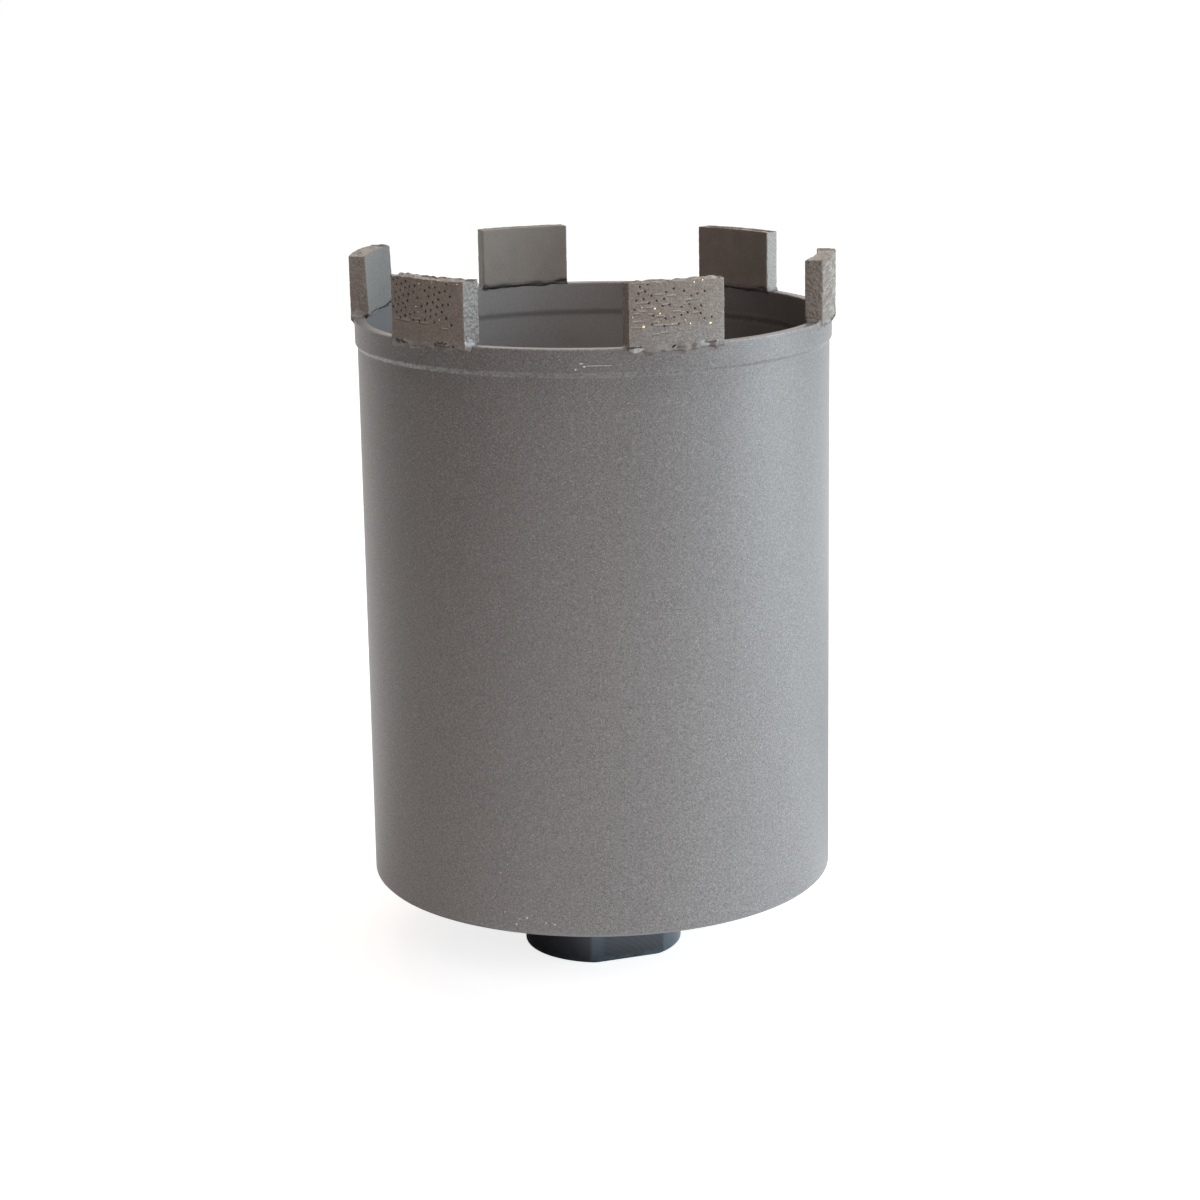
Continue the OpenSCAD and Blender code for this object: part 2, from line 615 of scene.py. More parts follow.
@dataclass(frozen=True)
class Finish:
    """What every finish has: a name, a base colour and a gloss."""

    name: str
    colour: Colour
    roughness: float
    metallic: float
    specular: float = field(default=0.5, kw_only=True)

    def material(self) -> bpy.types.Material:
        """Gives the finish as a material, made the first time.

        Returns:
            The material.
        """
        if self.name in bpy.data.materials:
            return bpy.data.materials[self.name]
        made = bpy.data.materials.new(self.name)
        made.use_nodes = True
        made.diffuse_color = rgba(self.colour)
        shader = made.node_tree.nodes["Principled BSDF"]
        shader.inputs["Metallic"].default_value = self.metallic
        shader.inputs["Roughness"].default_value = self.roughness
        shader.inputs["Specular IOR Level"].default_value = self.specular
        self.wire(Wiring(made.node_tree), shader.inputs)
        return made

    def wire(self, w: Wiring, shader: Any) -> None:
        """Adds the nodes that make the finish.

        Args:
            w: The material's wiring.
            shader: The Principled BSDF's inputs.
        """
        raise NotImplementedError

    def gloss(self, w: Wiring, shader: Any, value: Socket, span: tuple[float, float],
              change: tuple[float, float]) -> None:
        """Makes the roughness follow a value.

        Args:
            w: The material's wiring.
            shader: The Principled BSDF's inputs.
            value: The value that it follows.
            span: Where the value starts and stops to count.
            change: What the roughness gains at the start and at the stop.
        """
        at_start, at_stop = (self.roughness + step for step in change)
        w.feed(w.ramp(value, *span, at_start, at_stop), shader["Roughness"])

    @staticmethod
    def relief(w: Wiring, shader: Any, *layers: tuple[Socket, float]) -> None:
        """Stacks bump layers on the shader's normal.

        Args:
            w: The material's wiring.
            shader: The Principled BSDF's inputs.
            layers: Height from 0 to 1 and its depth in mm, for each layer.
        """
        normal = None
        for height, depth in layers:
            inputs = {"Height": height, "Strength": 1.0, "Distance": depth * MM}
            if normal is not None:
                inputs["Normal"] = normal
            normal = w.node("ShaderNodeBump", inputs).outputs[0]
        w.feed(normal, shader["Normal"])


@dataclass(frozen=True)
class SatinPaint(Finish):
    """Satin metallic paint: mottled, with fine grain, light flakes and an orange-peel skin."""

    shade: Colour
    bare: Colour
    # Painted shade on the outside towards the rim.
    scorched: Colour = (0.148, 0.136, 0.129)
    flake: Colour = (0.55, 0.55, 0.56)
    # Painted shade inside the tube.
    soot: Colour = (0.118, 0.097, 0.09)
    flake_size: float = 0.36
    peel_size: float = 1.5
    peel_depth: float = 0.012
    grain_depth: float = 0.006

    def wire(self, w: Wiring, shader: Any) -> None:
        """Adds the nodes of the paint, with painted shade that darkens it towards the rim and inside the
        tube.

        Args:
            w: The material's wiring.
            shader: The Principled BSDF's inputs.
        """
        coarse = w.carried(Field.COARSE)
        # Painted shade: the first coat darkens the outside towards the rim, the second the inside of the
        # tube.
        ground = w.coated(rgba(self.colour), (Field.SCORCH, self.scorched), (Field.BURNT, self.soot))
        mottle = Stain.put(w, color=ground, stain=rgba(self.shade), size=18.0, amount=0.3)
        grain = FineGrain.put(w, size=0.6, contrast=w.ramp(coarse, 0.0, 1.0, 0.12, 0.33))
        fine = FineGrain.put(w, size=0.24, contrast=w.ramp(coarse, 0.0, 1.0, 0.2, 0.95))
        toned = w.shaded(mottle.outputs["Color"], grain, fine)
        flakes = Flecks.put(w, size=self.flake_size, share=0.08)
        glint = w.math("MULTIPLY", flakes.outputs["Mask"], w.ramp(coarse, 0.0, 1.0, 0.1, 0.45))
        toned = w.blend(glint, toned, rgba(self.flake))
        worn = EdgeWear.put(w, color=toned, bare=rgba(self.bare), size=0.9, amount=0.6)
        w.feed(worn.outputs["Color"], shader["Base Color"])
        self.gloss(w, shader, grain.outputs["Height"], (0.3, 0.7), (-0.06, 0.06))
        peel = FineGrain.put(w, size=self.peel_size, contrast=0.1)
        self.relief(w, shader, (peel.outputs["Height"], self.peel_depth),
                    (grain.outputs["Height"], self.grain_depth))


@dataclass(frozen=True)
class SinteredPowder(Finish):
    """Sintered metal powder: rough, with pits, drag streaks, chips and yellow grit, and painted shade in
    its hollows.
    """

    hollow: Colour
    light: Colour
    neutral: Colour
    grit: Colour
    chip: Colour
    burnt: Colour

    def wire(self, w: Wiring, shader: Any) -> None:
        """Adds the nodes of the sintered metal.

        Args:
            w: The material's wiring.
            shader: The Principled BSDF's inputs.
        """
        toned = Stain.put(w, color=rgba(self.colour), stain=rgba(self.light), size=5.0, amount=0.15)
        ground = w.coated(toned.outputs["Color"], (Field.BARE, self.neutral))
        coarse = w.carried(Field.COARSE)
        rough = w.math("MULTIPLY_ADD", w.carried(Field.BARE), 0.12, 0.45)
        grain = FineGrain.put(w, size=0.55, contrast=w.ramp(coarse, 0.0, 1.0, 0.06, rough))
        fine = FineGrain.put(w, size=0.24, contrast=w.ramp(coarse, 0.0, 1.0, 0.06, 0.5))
        colour = w.shaded(ground, grain, fine)
        grit = Flecks.put(w, size=0.5, share=0.014)
        colour = w.blend(w.times(grit.outputs["Mask"], coarse, 0.6), colour, rgba(self.grit))
        spark = Flecks.put(w, size=0.42, share=0.3)
        shown = w.times(w.math("MULTIPLY_ADD", w.carried(Field.BARE), 0.3, 0.2), coarse)
        colour = w.blend(w.times(spark.outputs["Mask"], shown), colour, rgba(self.chip))
        worn = EdgeWear.put(w, color=colour, bare=rgba(self.light), size=0.7, amount=0.75)
        colour = w.blend(w.times(w.carried(Field.STREAK), 0.85), worn.outputs["Color"], rgba(self.light))
        # The hollow colour is painted shade, near-black in pits, grooves and under the inner foot.
        colour = w.coated(colour, (Field.FLUX, self.chip), (Field.BURNT, self.burnt),
                          (Field.PIT, self.hollow))
        w.feed(colour, shader["Base Color"])
        self.gloss(w, shader, grain.outputs["Height"], (0.3, 0.7), (-0.1, 0.1))
        rise = w.math("MULTIPLY", grain.outputs["Height"], w.ramp(coarse, 0.0, 1.0, 0.25, 1.0))
        self.relief(w, shader, (rise, 0.12), (fine.outputs["Height"], 0.03))


@dataclass(frozen=True)
class BluedSteel(Finish):
    """Blackened steel with turning rings, milling arcs across its flats, and painted sheen."""

    bare: Colour
    rust: Colour
    mill_centre: tuple[float, float, float]
    mill_pitch: float = 1.3
    ring_pitch: float = 0.9

    def wire(self, w: Wiring, shader: Any) -> None:
        """Adds the nodes of the blued steel.

        Args:
            w: The material's wiring.
            shader: The Principled BSDF's inputs.
        """
        place = w.place_mm()
        x, y, z = w.split(place)
        flat = w.carried(Field.STREAK)
        sweep = w.math("DIVIDE", w.vector("DISTANCE", place, self.mill_centre), self.mill_pitch)
        radius = w.vector("LENGTH", w.combine(x, y, 0.0))
        turned = w.math("DIVIDE", w.math("ADD", z, w.times(radius, 0.9)), self.ring_pitch)
        arcs = w.math("MULTIPLY", self.wave(w, sweep), flat)
        rings = w.math("MULTIPLY", self.wave(w, turned), w.less(1.0, flat))
        toned = Stain.put(w, color=rgba(self.colour), stain=rgba(self.rust), size=9.0, amount=0.12)
        grain = FineGrain.put(w, size=0.35, contrast=0.03)
        colour = w.shaded(toned.outputs["Color"], grain)
        # Painted sheen: the round sides that the mesh marks take the light bluish colour; a strip on each
        # flat and the milling arcs lighten too.
        lit = w.math("MULTIPLY_ADD", w.carried(Field.BARE), 0.28, w.ramp(arcs, 0.3, 1.0, 0.0, 0.06))
        colour = w.blend(lit, colour, rgba(self.bare))
        worn = EdgeWear.put(w, color=colour, bare=rgba(self.bare), size=1.2, amount=0.35)
        w.feed(worn.outputs["Color"], shader["Base Color"])
        self.gloss(w, shader, toned.outputs["Mask"], (0.0, 0.12), (-0.02, 0.04))
        self.relief(w, shader, (arcs, 0.002), (rings, 0.001))

    @staticmethod
    def wave(w: Wiring, turns: Socket) -> Socket:
        """Gives an even wave from 0 to 1, one for each whole turn."""
        return w.math("MULTIPLY_ADD", w.math("SINE", w.math("MULTIPLY", turns, 2 * math.pi)), 0.5, 0.5)


@dataclass(frozen=True)
class BrazeAlloy(Finish):
    """Braze that has run out of a joint: dull, with bright crests, flux and burnt patches, and painted
    shade in its crevices.
    """

    crest: Colour
    flux: Colour
    burnt: Colour
    # Painted shade in the crevices and under the inner foot.
    gap: Colour = (0.015, 0.012, 0.01)

    def wire(self, w: Wiring, shader: Any) -> None:
        """Adds the nodes of the braze.

        Args:
            w: The material's wiring.
            shader: The Principled BSDF's inputs.
        """
        toned = Stain.put(w, color=rgba(self.colour), stain=rgba(self.crest), size=1.1, amount=0.5)
        dirt = Stain.put(w, color=toned.outputs["Color"], stain=rgba(self.burnt), size=3.1, amount=0.35)
        grain = FineGrain.put(w, size=0.35, contrast=0.3)
        # The gap colour is painted shade in the crevices and under the inner foot.
        colour = w.coated(w.shaded(dirt.outputs["Color"], grain), (Field.WORN, self.crest),
                          (Field.FLUX, self.flux), (Field.BURNT, self.burnt), (Field.PIT, self.gap))
        w.feed(colour, shader["Base Color"])
        self.gloss(w, shader, toned.outputs["Mask"], (0.0, 0.5), (0.08, -0.12))
        self.relief(w, shader, (toned.outputs["Mask"], 0.06), (grain.outputs["Height"], 0.03))


@dataclass(frozen=True)
class Crystal(Finish):
    """Small hard grains, each a little lighter or darker than the next."""

    dark: Colour

    def wire(self, w: Wiring, shader: Any) -> None:
        """Adds the nodes of the crystals.

        Args:
            w: The material's wiring.
            shader: The Principled BSDF's inputs.
        """
        toned = Stain.put(w, color=rgba(self.colour), stain=rgba(self.dark), size=1.6, amount=0.8)
        w.feed(toned.outputs["Color"], shader["Base Color"])
        grain = FineGrain.put(w, size=0.12, contrast=0.2)
        swing = 0.3 * self.roughness
        self.gloss(w, shader, grain.outputs["Height"], (0.3, 0.7), (-swing, swing))


PAINT = SatinPaint("satin_grey_paint", (0.3, 0.283, 0.273), 0.42, 0.12,
                   shade=(0.22, 0.207, 0.2), bare=(0.38, 0.37, 0.36))
WELD_PAINT = SatinPaint("painted_weld_metal", (0.2, 0.19, 0.185), 0.48, 0.2,
                        shade=(0.13, 0.115, 0.105), bare=(0.34, 0.33, 0.32), peel_size=0.8, peel_depth=0.02)
# Its bare colour serves edge wear and painted sheen.
BLUED = BluedSteel("blued_turned_steel", (0.076, 0.083, 0.094), 0.3, 0.75,
                   bare=(0.17, 0.26, 0.33), rust=(0.08, 0.07, 0.066), mill_centre=(-7.0, -21.7, -18.0))
# The hollow colour of the sintered powder is painted shade.
SINTER = SinteredPowder("sintered_powder", (0.225, 0.187, 0.158), 0.62, 0.2,
                        hollow=(0.012, 0.01, 0.009), light=(0.42, 0.385, 0.34),
                        neutral=(0.27, 0.268, 0.262), grit=(0.36, 0.29, 0.08), chip=(0.46, 0.465, 0.47),
                        burnt=(0.14, 0.085, 0.065), specular=0.25)
BRAZE = BrazeAlloy("run_out_braze", (0.185, 0.168, 0.152), 0.5, 0.35,
                   crest=(0.28, 0.26, 0.238), flux=(0.42, 0.41, 0.4), burnt=(0.1, 0.065, 0.052))
DIAMOND = Crystal("yellow_diamond", (1.0, 0.88, 0.5), 0.14, 0.7, dark=(0.85, 0.6, 0.16))
NIB = Crystal("pale_paint_nib", (0.8, 0.79, 0.77), 0.5, 0.1, dark=(0.6, 0.56, 0.48))


# Geometry Nodes


class Growth:
    """A Geometry Nodes tree with named inputs, run on a mesh and turned into a plain one."""

    name: ClassVar[str]
    ports: ClassVar[tuple[Port, ...]]
    geometry: ClassVar[Port] = Port("Geometry", "Geometry")

    @classmethod
    def tree(cls) -> bpy.types.NodeTree:
        """Gives the tree, built the first time.

        Returns:
            The Geometry Nodes tree, which ends in Realize Instances and Set Material.
        """
        if cls.name in bpy.data.node_groups:
            return bpy.data.node_groups[cls.name]
        tree = bpy.data.node_groups.new(cls.name, "GeometryNodeTree")
        add_ports(tree, "OUTPUT", (cls.geometry,))
        add_ports(tree, "INPUT", (cls.geometry, *cls.ports, Port("Material", "Material")))
        w = Wiring(tree)
        start, end = w.node("NodeGroupInput"), w.node("NodeGroupOutput")
        shape = cls.grow(w, {socket.name: socket for socket in start.outputs if socket.name})
        whole = w.node("GeometryNodeRealizeInstances", {0: shape}).outputs[0]
        inputs = {"Geometry": whole, "Material": start.outputs["Material"]}
        dressed = w.node("GeometryNodeSetMaterial", inputs)
        w.feed(dressed.outputs[0], end.inputs[0])
        return tree

    @classmethod
    def grow(cls, w: Wiring, given: dict[str, Socket]) -> Socket:
        """Adds the nodes that make the shape.

        Args:
            w: The tree's wiring.
            given: The tree's inputs by name.

        Returns:
            The shape's socket.
        """
        raise NotImplementedError

    @classmethod
    def run(cls, piece: bpy.types.Object, finish: Finish, **values: Any) -> None:
        """Runs the tree on a piece and leaves it a plain mesh.

        Args:
            piece: The piece whose mesh goes in.
            finish: The finish that the tree sets.
            values: Value for each input, by its name in lower case.
        """
        modifier = piece.modifiers.new(cls.name, "NODES")
        modifier.node_group = cls.tree()
        values["material"] = finish.material()
        for item in cls.tree().interface.items_tree:
            if item.in_out == "INPUT" and argument(item.name) in values:
                modifier[item.identifier] = values[argument(item.name)]
        piece.update_tag()
        bpy.context.view_layer.update()
        done = bpy.data.meshes.new_from_object(piece.evaluated_get(bpy.context.evaluated_depsgraph_get()))
        piece.modifiers.clear()
        done.name = piece.name
        piece.data = done

    @staticmethod
    def chosen(node: bpy.types.Node) -> Socket:
        """Gives the output that a node has switched on."""
        return next(socket for socket in node.outputs if socket.enabled)

    @classmethod
    def named(cls, w: Wiring, name: str, kind: str = "FLOAT") -> Socket:
        """Gives a value that the mesh that goes in carries."""
        return cls.chosen(w.node("GeometryNodeInputNamedAttribute", {"Name": name}, data_type=kind))


class BrazeRun(Growth):
    """Braze squeezed out of a joint: a lip under the segment, with crevices and ridges, in mm."""

    name = "braze_run"
    ports = (
        Port("Segment Length", default=24.0), Port("Segment Inner", default=56.7),
        Port("Segment Outer", default=61.0), Port("Segment Bottom", default=166.7),
        Port("Rim Inner", default=57.2), Port("Rim Outer", default=60.0), Port("Rim Top", default=166.3),
        Port("Rim Axis", "Vector"), Port("Fillet", default=2.0), Port("Lip", default=0.75),
        Port("Bury", default=0.04), Port("Ragged", default=1.0), Port("Crevice", default=0.19),
        Port("Ridge", default=0.16), Port("Seed", default=1.0), Port("Cell", default=0.15),
        Port("End Reach", default=1.9), Port("Side Reach", default=2.0), Port("Room", default=2.4),
        Port("Across", default=8.6),
    )

    @classmethod
    def ring_gap(cls, w: Wiring, radius: Socket, inner: Socket, outer: Socket) -> Socket:
        """Gives how far a radius lies outside a band.

        Args:
            w: The tree's wiring.
            radius: The radius.
            inner: Where the band starts.
            outer: Where it stops.

        Returns:
            The gap, negative inside the band.
        """
        middle = w.times(w.math("ADD", inner, outer), 0.5)
        half = w.times(w.less(outer, inner), 0.5)
        return w.less(w.math("ABSOLUTE", w.less(radius, middle)), half)

    @classmethod
    def distance(cls, w: Wiring, gaps: Sequence[Socket]) -> Socket:
        """Gives the distance to a body.

        Args:
            w: The tree's wiring.
            gaps: How far a point lies outside each of the body's two or three pairs of sides.

        Returns:
            The distance, negative inside the body.
        """
        outside = w.vector("LENGTH", w.vector("MAXIMUM", w.combine(*gaps), (0.0, 0.0, 0.0)))
        deepest = gaps[0]
        for gap in gaps[1:]:
            deepest = w.math("MAXIMUM", deepest, gap)
        return w.math("ADD", outside, w.math("MINIMUM", deepest, 0.0))

    @classmethod
    def grow(cls, w: Wiring, given: dict[str, Socket]) -> Socket:
        """Adds the nodes that make the braze, with a crevice or a ridge at each point that goes in.

        Args:
            w: The tree's wiring.
            given: The tree's inputs by name.

        Returns:
            The shape's socket.
        """
        place = w.node("GeometryNodeInputPosition").outputs[0]
        x, y, z = w.split(place)
        moved = w.vector("ADD", place, w.combine(w.times(given["Seed"], 17.3), given["Seed"], 0.0))
        slow = w.less(w.noise(moved, 0.3, 1.0), 0.5)
        quick = w.less(w.noise(moved, 1.1, 1.0), 0.5)
        quick = w.times(quick, given["Ragged"])
        wave = w.math("MULTIPLY_ADD", quick, 1.6, w.math("MULTIPLY_ADD", slow, 2.4, 0.9))
        radius = w.vector("LENGTH", w.combine(x, y))
        outer = w.ramp(radius, given["Rim Inner"], given["Rim Outer"], 0.3, 1.0)
        hang = w.times(given["Lip"], outer, wave)
        along = w.less(w.math("ABSOLUTE", x), w.times(given["Segment Length"], 0.5))
        lip = cls.distance(w, (
            along,
            cls.ring_gap(w, radius, given["Segment Inner"], given["Segment Outer"]),
            w.less(w.less(given["Rim Top"], hang), z),
        ))
        rx, ry, _ = w.split(w.vector("SUBTRACT", place, given["Rim Axis"]))
        rim = cls.distance(w, (
            cls.ring_gap(w, w.vector("LENGTH", w.combine(rx, ry)), given["Rim Inner"],
                         given["Rim Outer"]),
            w.less(z, given["Rim Top"]),
        ))
        reach = w.times(given["Fillet"], outer, w.math("MULTIPLY_ADD", slow, 3.0, 1.0))
        reach = w.math("MAXIMUM", reach, 0.3)
        joined = w.math("SMOOTH_MIN", lip, rim, reach)
        above = w.math("MAXIMUM", w.less(z, w.math("ADD", given["Segment Bottom"], 0.15)), 0.0)
        sunk = w.math("MULTIPLY_ADD", above, 0.35, given["Bury"])
        body = w.math("ADD", joined, w.math("MULTIPLY_ADD", quick, 0.2, sunk))
        raised = w.math("GREATER_THAN", cls.named(w, "raised"), 0.5)
        strokes = w.node("GeometryNodeSeparateGeometry", {
            "Geometry": given["Geometry"], "Selection": raised}).outputs
        ridge, crevice = (w.node("GeometryNodeProximity", {0: kind, "Sample Position": place},
                                 target_element="POINTS").outputs["Distance"] for kind in strokes)
        body = w.math("SMOOTH_MIN", body, w.less(ridge, given["Ridge"]), 0.12)
        body = w.math("MAXIMUM", body, w.less(given["Crevice"], crevice))
        body = w.math("MAXIMUM", body, w.less(along, given["End Reach"]))
        level = w.math("ABSOLUTE", w.less(z, given["Rim Top"]))
        body = w.math("MAXIMUM", body, w.less(level, given["Side Reach"]))
        low = w.combine(w.less(w.times(given["Segment Length"], -0.5), given["Room"]),
                        w.less(-1.0, given["Segment Outer"]), w.less(given["Rim Top"], given["Room"]))
        both = w.times(given["Room"], 2.0)
        size = w.combine(w.math("ADD", given["Segment Length"], both), given["Across"], both)
        counts = [w.math("DIVIDE", part, given["Cell"]) for part in w.split(size)]
        cube = w.node("GeometryNodeVolumeCube", {
            "Density": w.times(body, -1.0), "Background": -1.0, "Min": low,
            "Max": w.vector("ADD", low, size),
            "Resolution X": counts[0], "Resolution Y": counts[1], "Resolution Z": counts[2]})
        skin = w.node("GeometryNodeVolumeToMesh", {"Volume": cube.outputs[0], "Threshold": 0.0})
        return w.node("GeometryNodeSetShadeSmooth", {"Geometry": skin.outputs[0]}).outputs[0]


class WeldRipples(Growth):
    """The scales that a weld pool leaves, one after the other along a bead, in metres."""

    name = "weld_ripples"
    ports = (Port("Ripples", default=90.0), Port("Height", default=0.0003), Port("Lag", default=0.9),
             Port("Seed", default=1.0))

    @classmethod
    def grow(cls, w: Wiring, given: dict[str, Socket]) -> Socket:
        """Adds the nodes that raise the ripples on the bead that goes in.

        Args:
            w: The tree's wiring.
            given: The tree's inputs by name.

        Returns:
            The shape's socket.
        """
        place = w.node("GeometryNodeInputPosition").outputs[0]
        x, y, _ = w.split(place)
        turn = w.math("DIVIDE", w.math("ARCTAN2", x, y), 2 * math.pi)
        across = cls.named(w, Field.ACROSS.value)
        middle = w.less(across, 0.5)
        bow = w.times(w.times(middle, middle), w.times(given["Lag"], 4.0))
        moved = w.vector("ADD", place, w.combine(given["Seed"], 0.0, 0.0))
        stray = w.times(w.less(w.noise(moved, 260.0, 1.0), 0.5), 0.7)
        phase = w.math("ADD", w.math("MULTIPLY_ADD", turn, given["Ripples"], bow), stray)
        scale = w.math("POWER", w.less(1.0, w.math("FRACT", phase)), 0.7)
        window = w.math("SINE", w.times(across, math.pi))
        uneven = w.math("MULTIPLY_ADD", w.noise(moved, 120.0, 2.0), 0.8, 0.6)
        lift = w.times(scale, window, w.times(uneven, given["Height"]))
        offset = w.scaled(w.node("GeometryNodeInputNormal").outputs[0], lift)
        raised = w.node("GeometryNodeSetPosition", {"Geometry": given["Geometry"], "Offset": offset})
        return w.node("GeometryNodeSetShadeSmooth", {"Geometry": raised.outputs[0]}).outputs[0]


class GrainScatter(Growth):
    """Small faceted grains, one at each point that goes in, in metres."""

    name = "grain_scatter"
    ports = (Port("Grain Size", default=1.0), Port("Seed", "Int", 1))

    @classmethod
    def grow(cls, w: Wiring, given: dict[str, Socket]) -> Socket:
        """Adds the nodes that set a grain at each point, with the point's own size and turn.

        Args:
            w: The tree's wiring.
            given: The tree's inputs by name.

        Returns:
            The shape's socket.
        """
        size, turn = (cls.named(w, name, "FLOAT_VECTOR") for name in ("size", "turn"))
        grain = w.node("GeometryNodeMeshIcoSphere", {"Radius": 1.0, "Subdivisions": 1}).outputs[0]
        uneven = cls.chosen(w.node("FunctionNodeRandomValue", {
            "Min": (0.8,) * 3, "Max": (1.2,) * 3, "Seed": given["Seed"]}, data_type="FLOAT_VECTOR"))
        scale = w.scaled(w.vector("MULTIPLY", size, uneven), given["Grain Size"])
        return w.node("GeometryNodeInstanceOnPoints", {
            "Points": given["Geometry"], "Instance": grain, "Rotation": turn, "Scale": scale}).outputs[0]


# Pieces


def finish_piece(piece: bpy.types.Object, finish: Finish, slot: Slot, *nodes: str) -> None:
    """Dresses a piece and ties it to the frame.

    Args:
        piece: The piece, in place.
        finish: Its finish.
        slot: The record's material slot that it belongs to; not used.
        nodes: The CAD nodes that it stands for.
    """
    piece.data.materials.clear()
    piece.data.materials.append(finish.material())
    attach(piece, BODY)
    if nodes:
        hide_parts(*nodes)
    LOG.info("%s: %d faces", piece.name, len(piece.data.polygons))


@dataclass(frozen=True)
class Place:
    """Where a segment stands: its frame's origin, and the directions along and out of it, in mm."""

    number: int
    origin: np.ndarray
    along: np.ndarray
    outward: np.ndarray

    @classmethod
    def of(cls, number: int, inner: float, outer: float, length: float) -> "Place":
        """Reads a segment's place from its CAD node.

        Args:
            number: The segment's number.
            inner: Radius of its inner face.
            outer: Radius of its outer face.
            length: Its length.

        Returns:
            The place.
        """
        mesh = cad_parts[f"segment_{number}"].data
        flat = np.array([vertex.co[:2] for vertex in mesh.vertices]) / MM
        centre = flat.mean(0)
        side = np.array((-centre[1], centre[0])) / np.hypot(*centre)
        normal = np.zeros(2)
        for face in mesh.polygons:
            lean = float(np.dot(face.normal[:2], side))
            if abs(lean) > 0.985 and abs(face.normal[2]) < 0.01:
                normal += np.array(face.normal[:2]) * math.copysign(face.area, lean)
        along = normal / np.hypot(*normal)
        outward = np.array((along[1], -along[0]))
        span = flat @ along
        shift = (span.min() + span.max()) / 2
        reach = (flat @ outward)[np.abs(span - shift) > length / 2 - 0.05]
        depth = (reach.min() + reach.max()) / 2
        rise = sum(math.sqrt(r * r - length * length / 4) for r in (inner, outer)) / 2
        return cls(number, along * shift + outward * (depth - rise), along, outward)

    def to_frame(self, points: np.ndarray) -> np.ndarray:
        """Carries points from the segment's frame, where it stands at -Y, to the bit's frame.

        Args:
            points: Points in mm, one row each.

        Returns:
            The points in the bit's frame, in mm.
        """
        flat = self.origin + points[:, :1] * self.along - points[:, 1:2] * self.outward
        return np.column_stack((flat, points[:, 2]))

    def rim_axis(self) -> tuple[float, float, float]:
        """Gives where the bit's axis stands in the segment's frame, in mm."""
        return (float(-self.origin @ self.along), float(self.origin @ self.outward), 0.0)


@dataclass(frozen=True)
class Patch:
    """A coloured spot on a segment and its braze, in the segment's own directions, in mm."""

    kind: Field
    along: float
    depth: float
    height: float
    radius: float
    strength: float = 0.85


@dataclass(frozen=True)
class Stroke:
    """A ridge or a crevice in the run-out braze, in mm along the segment and above its foot."""

    raised: bool
    path: tuple[tuple[float, float], ...]
    radius: float = 60.95

    def points(self, rng: np.random.Generator, foot: float, step: float = 0.1) -> np.ndarray:
        """Fills the stroke with points in the segment's own frame.

        Args:
            rng: Makes the points stray a little.
            foot: Height of the segment's foot.
            step: Distance between points.

        Returns:
            The points, one row each.
        """
        path = np.array(self.path)
        run = np.append(0, np.cumsum(np.hypot(*np.diff(path, axis=0).T)))
        at = np.linspace(0, run[-1], max(2, round(run[-1] / step)))
        u, z = (np.interp(at, run, column) + rng.uniform(-0.05, 0.05, len(at)) for column in path.T)
        return np.column_stack((u, -np.sqrt(self.radius**2 - u**2), foot + z))


